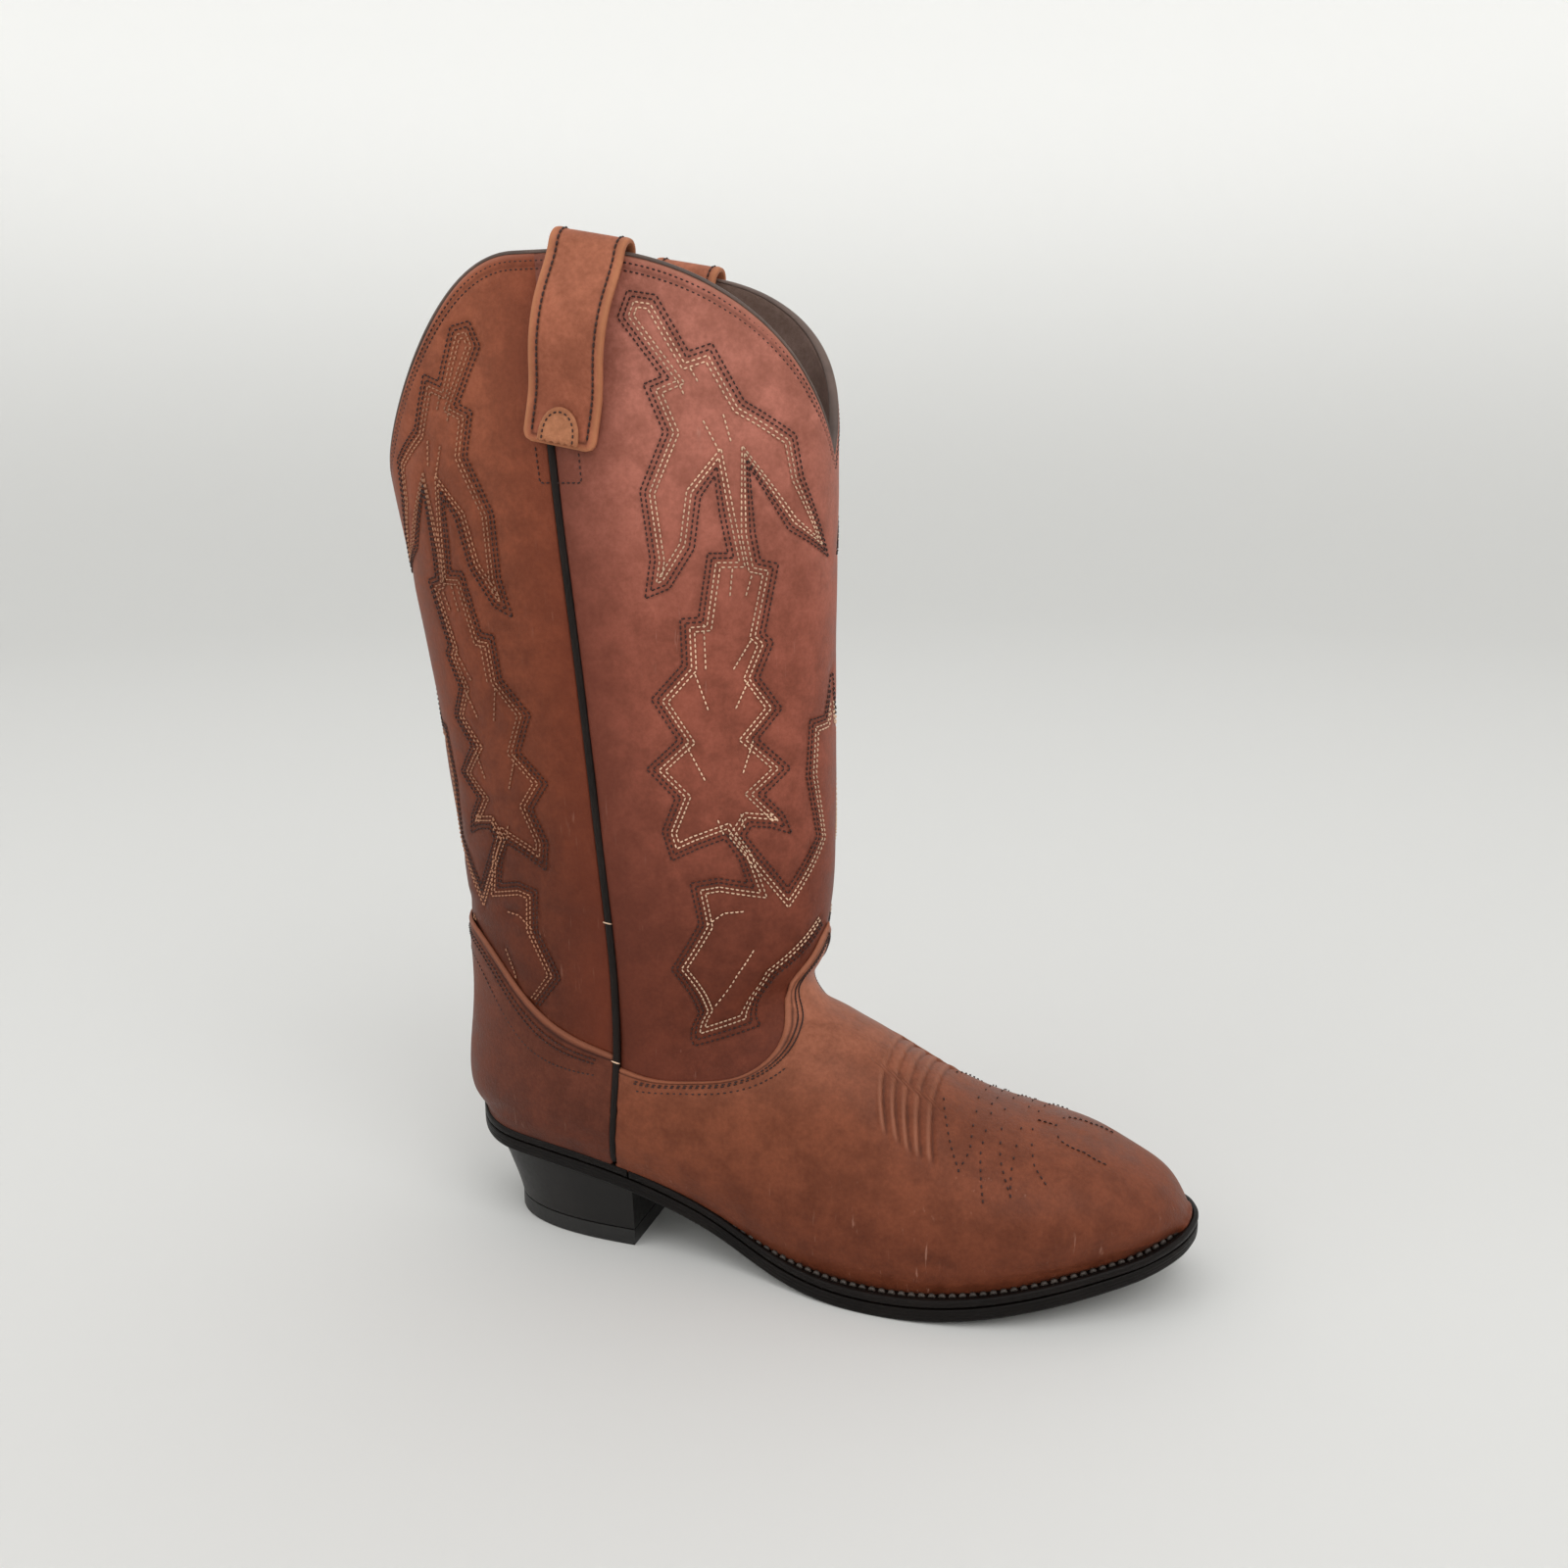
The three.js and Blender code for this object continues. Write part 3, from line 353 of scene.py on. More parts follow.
def add_object(name, points, face_arrays, material, replaces=(), values=None, sharp=None):
    """Mesh object from points in design millimetres and arrays of faces, each array holding faces of one size."""
    points = np.asarray(points, float)
    if signed_volume(points, face_arrays) < 0:
        face_arrays = [np.asarray(faces)[:, ::-1] for faces in face_arrays]
    mesh = bpy.data.meshes.new(name)
    mesh.vertices.add(len(points))
    mesh.vertices.foreach_set("co", ((np.asarray(points) + SHIFT) * MM).astype(np.float32).ravel())
    loops = np.concatenate([np.asarray(f).ravel() for f in face_arrays])
    totals = np.concatenate([np.full(len(f), np.asarray(f).shape[1]) for f in face_arrays])
    mesh.loops.add(len(loops))
    mesh.loops.foreach_set("vertex_index", loops.astype(np.int32))
    mesh.polygons.add(len(totals))
    mesh.polygons.foreach_set("loop_start", np.concatenate([[0], np.cumsum(totals)[:-1]]).astype(np.int32))
    mesh.polygons.foreach_set("loop_total", totals.astype(np.int32))
    for key, data in (values or {}).items():
        mesh.attributes.new(key, "FLOAT", "POINT").data.foreach_set("value", np.asarray(data, np.float32))
    mesh.update(calc_edges=True)
    mesh.validate()
    mesh.polygons.foreach_set("use_smooth", np.ones(len(mesh.polygons), bool))
    if sharp is not None:
        mesh.set_sharp_from_angle(angle=np.radians(sharp))
    mesh.materials.append(material)
    obj = bpy.data.objects.new(name, mesh)
    bpy.context.scene.collection.objects.link(obj)
    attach(obj, "root")
    if replaces:
        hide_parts(*replaces)
    return obj


def grid_faces(rows, columns, start=0, wrap_rows=False, wrap_columns=False):
    """Quads over a grid of points, row after row, that may close on itself either way."""
    r = np.arange(rows if wrap_rows else rows - 1)[:, None]
    c = np.arange(columns if wrap_columns else columns - 1)[None, :]
    r1, c1 = (r + 1) % rows, (c + 1) % columns
    quads = [r * columns + c, r * columns + c1, r1 * columns + c1, r1 * columns + c]
    return np.stack(quads, -1).reshape(-1, 4) + start


def end_faces(rows, columns):
    """The two faces that close a tube: its first ring turned round and its last ring."""
    return np.stack([np.arange(columns)[::-1], (rows - 1) * columns + np.arange(columns)])


def border(rows, columns):
    """Indices of a grid's outermost points, in order round it."""
    index = np.arange(rows * columns).reshape(rows, columns)
    return np.concatenate([index[0, :-1], index[:-1, -1], index[-1, :0:-1], index[:0:-1, 0]])


def shell(outer, inner, fields, wall_steps=4):
    """Closed leather piece between two equal grids: a half-round wall of wall_steps joins their borders.
    fields are named values on the outer grid; the inner grid and the wall carry the same ones."""
    rows, columns, _ = outer.shape
    count = rows * columns
    loop = border(rows, columns)
    flat_out, flat_in = outer.reshape(-1, 3), inner.reshape(-1, 3)
    towards = np.zeros_like(outer)
    towards[0] += outer[0] - outer[1]
    towards[-1] += outer[-1] - outer[-2]
    towards[:, 0] += outer[:, 0] - outer[:, 1]
    towards[:, -1] += outer[:, -1] - outer[:, -2]
    away = unit(towards.reshape(-1, 3)[loop])
    middle = (flat_out[loop] + flat_in[loop]) / 2
    half = (flat_out[loop] - flat_in[loop]) / 2
    radius = np.linalg.norm(half, axis=1, keepdims=True)
    angles = np.linspace(0, np.pi, wall_steps + 1)[1:-1, None, None]
    wall = middle + half * np.cos(angles) + away * radius * np.sin(angles)
    points = np.concatenate([flat_out, flat_in, wall.reshape(-1, 3)])
    rings = [loop] + [2 * count + k * len(loop) + np.arange(len(loop)) for k in range(wall_steps - 1)]
    rings.append(loop + count)
    faces = [grid_faces(rows, columns), grid_faces(rows, columns, count)[:, ::-1]]
    for one, two in zip(rings[:-1], rings[1:]):
        faces.append(np.stack([one, two, np.roll(two, -1), np.roll(one, -1)], -1))
    values = {}
    for key, data in fields.items():
        flat = np.broadcast_to(data, (rows, columns)).ravel()
        values[key] = np.concatenate([flat, flat, np.tile(flat[loop], wall_steps - 1)])
    return points, [np.concatenate(faces)], values


def sweep(centres, outs, ups, profile, closed):
    """Profile points (out, up) carried along a path with its own out and up at each step. The profile may be one for
    all steps or one per step, and an open path gets flat ends."""
    profile = np.broadcast_to(profile, (len(centres),) + np.shape(profile)[-2:])
    points = centres[:, None] + outs[:, None] * profile[..., :1] + ups[:, None] * profile[..., 1:]
    steps, count = points.shape[:2]
    faces = [grid_faces(steps, count, wrap_rows=closed, wrap_columns=True)]
    if not closed:
        faces.append(end_faces(steps, count))
    return points.reshape(-1, 3), faces


def unit(vectors):
    """Vectors divided by their lengths."""
    return vectors / np.maximum(np.linalg.norm(vectors, axis=-1, keepdims=True), 1e-9)


# ------------------------------------------------------------------ stitches
STITCH_SIDES = 6
# Rings of a stitch: place along it, half thickness and rise, as shares of its length and radius.
STITCH_STATIONS = np.array(
    [[-0.5, 0.35, -0.5], [-0.3, 0.95, 0.35], [0.0, 1.0, 0.6], [0.3, 0.95, 0.35], [0.5, 0.35, -0.5]]
)


def stitches(places, tangents, normals, length, radius):
    """One bent capsule for each place: rings along the stitch whose ends dip under the leather."""
    across = unit(np.cross(normals, tangents))
    angle = np.linspace(0, 2 * np.pi, STITCH_SIDES, endpoint=False)
    along = STITCH_STATIONS[:, 0][:, None] * length * np.ones(STITCH_SIDES)
    side = STITCH_STATIONS[:, 1][:, None] * radius * np.cos(angle)
    up = STITCH_STATIONS[:, 1][:, None] * radius * np.sin(angle) + STITCH_STATIONS[:, 2][:, None] * radius
    local = np.stack([along, side, up], -1).reshape(-1, 3)
    axes = np.stack([tangents, across, normals], 1)
    points = places[:, None] + local[None] @ axes
    per = len(local)
    rings = len(STITCH_STATIONS)
    tube = grid_faces(rings, STITCH_SIDES, wrap_columns=True)
    ends = end_faces(rings, STITCH_SIDES)
    start = (np.arange(len(places)) * per)[:, None, None]
    return points.reshape(-1, 3), [(tube + start).reshape(-1, 4), (ends + start).reshape(-1, STITCH_SIDES)]


def add_stitches(name, runs, length, radius, material, replaces=()):
    """One object of every stitch in runs, each run being places, tangents and normals."""
    places, tangents, normals = (np.concatenate([run[i] for run in runs]) for i in range(3))
    points, faces = stitches(places, tangents, normals, length, radius)
    return add_object(name, points, faces, material, replaces)


def resample(line, pitch):
    """Middles and directions of equal stitches along each straight of a polyline, so that corners stay crisp."""
    line = np.asarray(line, float)
    middles, headings = [], []
    for a, b in zip(line[:-1], line[1:]):
        run = np.linalg.norm(b - a)
        count = max(1, int(round(run / pitch)))
        share = (np.arange(count) + 0.5) / count
        middles.append(a + (b - a) * share[:, None])
        headings.append(np.repeat((b - a)[None] / max(run, 1e-9), count, 0))
    return np.concatenate(middles), np.concatenate(headings)


def even(line, pitch):
    """The same line with points a pitch apart, whatever its own points."""
    line = np.asarray(line, float)
    run = run_length(line)
    at = np.linspace(0, run[-1], max(2, int(run[-1] / pitch) + 1))
    return point_at(line, run, at)


def beside(line, distance):
    """A polyline moved to the right of its run, with mitred corners that are held short."""
    line = np.asarray(line, float)
    heading = unit(np.diff(line, axis=0))
    normal = np.stack([heading[:, 1], -heading[:, 0]], -1)
    before = np.concatenate([normal[:1], normal])
    after = np.concatenate([normal, normal[-1:]])
    mitre = (before + after) / np.maximum(1 + (before * after).sum(1, keepdims=True), 0.35)
    return line + mitre * distance


def mirror(run):
    """A run of stitches on the other side of the boot."""
    flip = np.array([1, -1, 1])
    return [part * flip for part in run]


def run_on_surface(t, around, lift):
    """Places, tangents and normals of stitches at points of the surface, headed from each point to the next."""
    places = skin(t, around, np.broadcast_to(lift, np.shape(t)).astype(float))
    normals = last_normal(t, around)
    ahead = np.gradient(places, axis=0)
    tangents = unit(ahead - (ahead * normals).sum(-1, keepdims=True) * normals)
    return [places, tangents, normals]


# Decorative stitching of a front quarter: distance in front of the seam and height. It runs up the seam side of the
# leaves, over the tip, down the ridge side to the notch and up to the ridge. The leaves lie to the right of the run.
LEAF_LINE = [
    (87, 132), (66, 115), (64, 102), (61, 95.5), (36, 88), (40, 101), (24.5, 119), (35.5, 137.5),
    (33.5, 153.5), (44, 155.5), (54.5, 153.5), (52, 163), (47.5, 170.5), (38, 167), (27.5, 162), (25, 173),
    (31, 185.5), (21.5, 196), (34, 207), (26, 221.5), (38.5, 234), (39.5, 250), (46, 250.5), (51.5, 272.5),
    (58.5, 272.5), (57, 286), (56.5, 298.5), (51, 291.5), (47, 274), (37, 260.5), (28, 257), (31.5, 270.5),
    (30.5, 293.5), (40.5, 313), (35, 328.5), (41.5, 331), (28, 350), (32, 358.5), (41.5, 357), (51, 339),
    (59, 341.5), (68.5, 323), (74.5, 319.5), (86.5, 312), (88.5, 298), (100.5, 269.5), (81, 280),
    (68.5, 301.5), (68.5, 279), (69.5, 270), (76, 268.5), (68.5, 244.5), (71.5, 241.5), (65, 229),
    (72.5, 217.5), (62.5, 207), (74, 195.5), (63, 186.5), (70, 178.5), (72.5, 171), (65, 174), (57.5, 175),
    (55, 171.5), (69.5, 150.5), (84, 168), (80.5, 191.5), (84, 212), (93, 212.5), (101, 229),
]
VEINS = [
    [(54, 317), (59, 306)], [(61, 319), (63, 309.5)], [(46.5, 330), (48.5, 325)], [(51, 334), (53.5, 329)],
    [(59.5, 267.5), (57.5, 257.5)], [(66, 265), (63, 257.5)], [(47.5, 248.5), (46.5, 232)],
    [(63.5, 242.5), (56, 232)], [(42.5, 231), (46, 217.5)], [(61, 228), (55.5, 218)],
    [(36.5, 206), (42.5, 192)], [(61, 207), (56, 194.5)], [(45.5, 178), (47.5, 171.5)],
    [(54, 180), (55, 174)], [(38, 137), (45, 142), (52.5, 142.5)], [(45.5, 103.5), (50, 117), (55.5, 127)],
]
PATTERN_ROWS, DARK_ROWS, ROW_GAP = 4, 2, 1.6  # the outer two rows are dark
ROW_LIFT = 0.0  # thread height over the panel
BACK_SCALE, BACK_DROP = 0.86, 8.0  # the back quarter's leaves are narrower and lower


def pattern_point(line, back):
    """Design line of a front quarter as (distance, height), or the same turned to the back quarter."""
    line = np.asarray(line, float)
    if back:
        return np.stack([-line[:, 0] * BACK_SCALE, line[:, 1] - BACK_DROP], -1)
    return line


def inward(line, distance, back):
    """The line moved to the leaves' side."""
    return beside(line, -distance if back else distance)


def pattern_rows(settings, back):
    """Runs of dark and of pale stitches of one outer quarter."""
    outline = pattern_point(LEAF_LINE, back)
    dark, pale = [], []
    for row in range(PATTERN_ROWS):
        middles, headings = resample(inward(outline, row * ROW_GAP, back), settings.pitch)
        (dark if row < DARK_ROWS else pale).append((middles, headings))
    for vein in VEINS:
        pale.append(resample(pattern_point(vein, back), settings.pitch))
    return [quarter_run(rows, back) for rows in (dark, pale)]


def quarter_run(rows, back):
    """Surface places of flat stitches, leaving out those past the ridge, past the back or under the foot leather."""
    middles = np.concatenate([m for m, _ in rows])
    ahead = np.concatenate([m + h for m, h in rows])
    t, turn = SURFACE.find(middles[:, 0], middles[:, 1])
    t2, turn2 = SURFACE.find(ahead[:, 0], ahead[:, 1])
    places, tips = skin(t, turn, np.full(t.shape, ROW_LIFT)), skin(t2, turn2, np.full(t.shape, ROW_LIFT))
    normals = last_normal(t, turn)
    heading = tips - places
    tangents = unit(heading - (heading * normals).sum(-1, keepdims=True) * normals)
    missed = np.abs(SURFACE.read(SURFACE.arc, t, turn) - middles[:, 0]) > 0.6
    under = places[:, 2] < covered_height(places[:, 0], back) + 1.5
    keep = ~(missed | under | (np.abs(turn) > 0.985) | ~np.isfinite(tangents).all(1))
    return [part[keep] for part in (places, tangents, normals)]


def covered_height(x, back):
    """Height of the foot leather's upper edge in the side view."""
    edge = COUNTER_EDGE if back else VAMP_EDGE[:150]
    return np.interp(x, edge[:, 0], edge[:, 1], left=edge[0, 1], right=edge[-1, 1])


def distance_to(line, points):
    """Shortest distance from each point to a polyline, every straight against every point."""
    line = np.asarray(line, float)
    best = np.full(len(points), 1e9)
    for a, b in zip(line[:-1], line[1:]):
        along = b - a
        share = np.clip(((points - a) @ along) / max(along @ along, 1e-9), 0, 1)
        best = np.minimum(best, np.linalg.norm(points - a - share[:, None] * along, axis=1))
    return best


# ------------------------------------------------------------------ edges of the foot leather as (section, turn)


def edge_on_surface(line):
    """Section and turn of each point of a side-view line."""
    t, turn = locate(line[:, 0], line[:, 1])
    return np.stack([t, turn], -1)


def flat_of(t, turn):
    """Surface laid out flat: distance along the section and section number, both in millimetres."""
    return np.stack([SURFACE.read(SURFACE.arc, t, turn), t], -1)


VAMP_TOP = edge_on_surface(VAMP_EDGE)
COUNTER_TOP = edge_on_surface(COUNTER_EDGE)
VAMP_TOP = np.concatenate([VAMP_TOP, [[VAMP_TOP[-1, 0], 1.0]]])
COUNTER_TOP = np.concatenate([[[COUNTER_TOP[0, 0], -1.0]], COUNTER_TOP])
VAMP_FLAT = flat_of(VAMP_TOP[:, 0], VAMP_TOP[:, 1])
COUNTER_FLAT = flat_of(COUNTER_TOP[:, 0], COUNTER_TOP[:, 1])
CORNER_TURN = VAMP_TOP[0, 1]
SHAFT_OUT, SHAFT_IN = 0.0, -1.8
LINING_OUT, LINING_IN = -2.1, -3.5
FOOT_OUT, FOOT_IN = 2.0, 0.3
SEAM_GAP = 2.1  # half width of the piping's channel
HIDDEN = 9.0  # leather that runs on under the foot's top edges
COUNTER_BOTTOM = KNOTS[9] - 1  # last section of the counter and of the back lining


def seam_start(t, sign):
    """Turn of a panel's seam edge, a channel's half width away from the seam."""
    turn = seam_turn(t)
    slope = (SURFACE.read(SURFACE.arc, t, turn + 0.01) - SURFACE.read(SURFACE.arc, t, turn - 0.01)) / 0.02
    gap = SEAM_GAP - (SEAM_GAP - 0.15) * smooth_step(SURFACE.read(SURFACE.height, t, turn), 317, 320)
    return np.clip(turn + sign * gap / np.maximum(slope, 20), -1, 1)


def panel_around(c, t, front):
    """c runs -1 to 1 across a panel, over the front ridge or round the back."""
    if front:
        return 1 + c * (1 - seam_start(t, 1))
    return -1 + c * (1 + seam_start(t, -1))


def panel_grid(c, front, low_t, rows):
    """Sections and around values from the top line down to low_t, which is a function of the turn."""
    top = root(lambda t: top_gap(t, panel_around(c, t, front)), np.zeros_like(c), np.full_like(c, KNOTS[3]))
    turn = fold(panel_around(c, np.full_like(c, KNOTS[4]), front))[0]
    bottom = low_t(turn)
    share = np.linspace(0, 1, rows)[:, None]
    t = top + (bottom - top) * share
    return t, panel_around(c[None, :], t, front)


def top_gap(t, around):
    """Height that the top line stands over a point: nothing on the rim."""
    point = last_point(t, around)
    return top_line(point[..., 0]) - point[..., 2]


def vamp_low(turn):
    """Section where the front panel ends, under the vamp's top edge."""
    return np.interp(turn, VAMP_TOP[:, 1], VAMP_TOP[:, 0]) + HIDDEN


def counter_low(turn):
    """Section where the back panel ends, under the counter's top edge."""
    return np.interp(turn, COUNTER_TOP[:, 1], COUNTER_TOP[:, 0]) + HIDDEN


# ------------------------------------------------------------------ leather shaping


def bump(value, centre, width):
    """One at the centre, falling as exp(-(distance / width) squared)."""
    return np.exp(-(((value - centre) / width) ** 2))


def stitched_lines(back):
    """Every row of a quarter's decorative stitching, as (distance from the seam, height)."""
    outline = pattern_point(LEAF_LINE, back)
    rows = [inward(outline, row * ROW_GAP, back) for row in range(PATTERN_ROWS)]
    return rows + [pattern_point(vein, back) for vein in VEINS]


def stitch_distance(t, turn, back):
    """Distance to the nearest decorative row, counted up to 25 mm."""
    flat = np.stack([SURFACE.read(SURFACE.arc, t, turn), SURFACE.read(SURFACE.height, t, turn)], -1)
    points = flat.reshape(-1, 2)
    best = np.full(len(points), 25.0)
    for line in stitched_lines(back):
        best = np.minimum(best, distance_to(line, points))
    return best.reshape(t.shape)


def ripple(t, around, pitch, seed):
    """Slow unevenness of worn leather: five crossed waves of unlike lengths."""
    wave = 0.0
    turn, side = fold(around)
    across = turn * 90 * side
    for k, (a, b) in enumerate([(1.0, 0.35), (-0.6, 1.1), (0.2, 1.7), (1.7, -0.4), (-1.3, -0.9)]):
        wave = wave + np.sin((a * across + b * t) * 2 * np.pi / pitch + seed + 2.1 * k) / 5
    return wave


def shaft_lift(t, around, back, leather):
    """Quilting between the stitch rows, the rim's own rows, slow unevenness and creases at the ankle."""
    turn, _side = fold(around)
    near = stitch_distance(t, turn, back)
    lift = leather.puff * (1 - np.exp(-near / 2.6)) - leather.groove * bump(near, 0, 0.62)
    lift = lift + 0.22 * ripple(t, around, 62, 1.3 if back else 0.2) * np.clip(near / 6, 0.2, 1)
    if back:
        for height, depth in ((131, 0.5), (150, 0.35), (121, 0.3)):
            z = SURFACE.read(SURFACE.height, t, turn)
            lift = lift - depth * bump(z - 0.16 * (turn + 1) * 40, height, 3.2) * np.clip(0.75 - turn, 0, 1)
    rim = top_distance(t, around)
    lift = lift - 0.28 * (bump(rim, 1.9, 0.5) + bump(rim, 4.4, 0.5)) - 0.35 * bump(rim, 0, 0.6)
    return lift - leather.puff * 0.5, near, rim


def top_distance(t, around):
    """Distance below the rim, measured down the leather that leans a little."""
    point = last_point(t, around)
    return np.maximum(top_line(point[..., 0]) - point[..., 2], 0) * 0.9


def edge_roll(distance, leather):
    """Section of a folded edge: a raised bead, a tight groove inside it, and dips at the stitch rows."""
    roll = leather.bead * np.sqrt(np.clip(1 - ((distance - 0.75) / 0.95) ** 2, 0, 1)) - 1.0 * np.exp(-distance / 3.0)
    return roll - 0.32 * bump(distance, 2.1, 0.4) - 0.2 * (bump(distance, 3.7, 0.5) + bump(distance, 5.4, 0.5))


WRINKLE_LOW = np.array([[183.2, 62.7], [188.1, 60.2], [192.4, 57.9], [196.6, 56.3], [201.4, 54.8]])
WRINKLE_RIDGE = [178.0, 182.5, 187.0, 191.5, 196.5]


def wrinkle_lines():
    """Section of each crease at its lower end and on the ridge, with the turn of the lower end."""
    t, turn = locate(WRINKLE_LOW[:, 0], WRINKLE_LOW[:, 1])
    sections = np.linspace(KNOTS[8], KNOTS[14], 300)
    ridge_x = last_point(sections, np.ones_like(sections))[:, 0]
    return t, turn, np.interp(WRINKLE_RIDGE, ridge_x, sections)


def wrinkle_lift(t, turn, depth):
    """Grooves that fade below their lower ends, with soft folds standing up between them."""
    low_t, low_turn, ridge_t = wrinkle_lines()
    lift, crease_shade, folds = np.zeros_like(t), np.zeros_like(t), np.zeros_like(t)
    for start, ridge, side in zip(low_t, ridge_t, low_turn):
        share = (turn - side) / (1 - side)
        rise = np.clip(share, -0.2, 1)
        line = start + (ridge - start) * rise * (2 - rise) + 0.5 * np.sin(rise * 6 + start) * (1 - rise)
        fade = np.clip(share * 12 + 0.6, 0, 1) * (1 - 0.3 * np.clip(share, 0, 1))
        lift = lift + fade * depth * (0.45 * bump(t, line - 2.1, 1.3) - bump(t, line, 0.85))
        # crease_shade marks each crease line, where the foot finish paints shade into the groove.
        crease_shade = np.maximum(crease_shade, fade * bump(t, line, 1.0))
        folds = np.maximum(folds, fade * bump(t, line - 2.1, 1.3))
    return lift, crease_shade, folds


# ------------------------------------------------------------------ sole lines


HEEL_KNOT = KNOTS[6]
_feather = section(np.linspace(HEEL_KNOT, TOE, 400))
FEATHER_X, FEATHER_Z = _feather[:, 0], _feather[:, 1]
TOE_SLOPE = (FEATHER_Z[-1] - FEATHER_Z[-8]) / (FEATHER_X[-1] - FEATHER_X[-8])


def feather_height(x):
    """Height of the line where upper meets welt; level behind the heel and running on past the toe."""
    return np.interp(x, FEATHER_X, FEATHER_Z) + np.maximum(x - FEATHER_X[-1], 0) * TOE_SLOPE


def smooth_step(x, low, high):
    """Nothing below low, one above high, 3 s^2 - 2 s^3 between."""
    share = np.clip((x - low) / (high - low), 0, 1)
    return share * share * (3 - 2 * share)


def sole_edge(x):
    """How far the sole stands out past the feather line: 3 mm at the heel, 4 at the waist, 8 at the ball and 9 at
    the toe, in smooth steps."""
    to_waist = smooth_step(x, HEEL_BREAST - 10, HEEL_BREAST + 30)
    to_fore = smooth_step(x, HEEL_BREAST + 30, HEEL_BREAST + 90)
    return 3 + to_waist + 4 * to_fore + smooth_step(x, 262, 288)


def plan_line(count):
    """Feather line in plan, closed: outer side from the heel to the toe and back along the inner side. Points are
    evenly spaced after a light smoothing, so that the moved-out outline stays fair at the heel and the toe."""
    share = (1 - np.cos(np.linspace(0, np.pi, 160))) / 2
    rows = section(HEEL_KNOT + (TOE - HEEL_KNOT) * share)
    outer = np.stack([rows[:, 0], rows[:, 6] - rows[:, 5]], -1)
    inner = np.stack([rows[:, 0], rows[:, 6] + rows[:, 5]], -1)[::-1]
    tip = [[rows[-1, 0] + TOE_POLE, rows[-1, 6]]]
    line = even(np.concatenate([outer, tip, inner, outer[:1]]), 0.5)[:-1]
    fair = np.exp(-((np.arange(-36, 37) / 9.0) ** 2))
    fair /= fair.sum()
    padded = np.concatenate([line[-36:], line, line[:36]])
    line = np.stack([np.convolve(padded[:, k], fair, "valid") for k in range(2)], -1)
    closed = np.concatenate([line, line[:1]])
    run = run_length(closed)
    at = np.linspace(0, run[-1], count, endpoint=False)
    return point_at(closed, run, at)


def plan_outs(line):
    """Outward directions of a closed plan line that runs anticlockwise seen from above."""
    run = unit(np.roll(line, -1, 0) - np.roll(line, 1, 0))
    return np.stack([run[:, 1], -run[:, 0]], -1)


def rim_path(front):
    """The plan line in front of or behind the breast, as an open path with its outward directions."""
    line = plan_line(900)
    outs = plan_outs(line)
    keep = line[:, 0] > HEEL_BREAST if front else line[:, 0] < HEEL_BREAST - 0.3
    first = np.flatnonzero(keep & ~np.roll(keep, 1))[0]
    order = (first + np.arange(keep.sum())) % len(line)
    return line[order], outs[order]


def rim_piece(path, outs, shape):
    """Sweep of a welt or rand: shape gives, for the edge's width at each step, the profile as (out, up)."""
    x = path[:, 0] + outs[:, 0] * sole_edge(path[:, 0])
    width = sole_edge(x)
    profile = shape(width[:, None])
    centres = np.concatenate([path, feather_height(path[:, 0])[:, None]], -1)
    flat_outs = np.concatenate([outs, np.zeros((len(outs), 1))], -1)
    points, faces = sweep(centres, flat_outs, np.tile([0.0, 0, 1], (len(path), 1)), profile, False)
    # every point follows the height of the feather line under itself, not that of its path point
    points[:, 2] += feather_height(points[:, 0]) - np.repeat(centres[:, 2], profile.shape[1])
    return points, faces


def welt_shape(width):
    """Top with a channel for the stitches and a bead outside it, rounded edge, flat underside."""
    outs = [-6, -3, 0, 0.8, 1.3, 1.7, 2.2]
    ups = [0.5, 0.5, 0.5, 0.45, 0.1, -0.15, -0.2]
    back = [2.9, 2.5, 2.1, 1.5, 0.9, 0.35, 0.05, 0.0, 0.15, 0.5, 1.2]
    back_ups = [-0.2, -0.1, 0.25, 0.5, 0.48, 0.2, -0.3, -1.2, -2.1, -2.6, -2.9]
    profile = [np.stack([np.full_like(width, o), np.full_like(width, u)], -1) for o, u in zip(outs, ups)]
    profile += [np.stack([width - o, np.full_like(width, u)], -1) for o, u in zip(back, back_ups)]
    profile.append(np.stack([np.full_like(width, -6), np.full_like(width, -2.9)], -1))
    return np.concatenate(profile, 1)


def rand_shape(width):
    """Plain strip with a rounded edge."""
    back = [1.2, 0.6, 0.2, 0.0, 0.0, 0.2, 0.6, 1.2]
    ups = [0.5, 0.4, 0.05, -0.6, -1.8, -2.4, -2.75, -2.9]
    profile = [np.stack([np.full_like(width, -6), np.full_like(width, 0.5)], -1)]
    profile += [np.stack([width - o, np.full_like(width, u)], -1) for o, u in zip(back, ups)]
    profile.append(np.stack([np.full_like(width, -6), np.full_like(width, -2.9)], -1))
    return np.concatenate(profile, 1)


def heel_plan(length, half_width, count):
    """D-shaped outline: a superellipse behind the breast, then the breast's straight line with softened corners."""
    angle = np.linspace(0, np.pi, count)
    across = np.sign(np.cos(angle)) * np.abs(np.cos(angle)) ** (2 / 2.6)
    back = np.sin(angle) ** (2 / 2.6)
    curve = np.stack([HEEL_BREAST - length * back, -half_width * across], -1)
    straight = np.linspace(curve[-1], curve[0], count // 3)[1:-1]
    return np.concatenate([curve, straight])


def lofted(rings):
    """Closed body from rings of equal count: quads between them and a fan of quads shrinking to each end's middle."""
    middle_low, middle_high = rings[0].mean(0), rings[-1].mean(0)
    shrink = [0.03, 0.35, 0.7, 0.93]
    low = [middle_low + (rings[0] - middle_low) * s for s in shrink]
    high = [middle_high + (rings[-1] - middle_high) * s for s in shrink[::-1]]
    stack = np.stack(low + list(rings) + high)
    count = stack.shape[1]
    faces = grid_faces(len(stack), count, wrap_columns=True)
    return stack.reshape(-1, 3), [faces, end_faces(len(stack), count)]


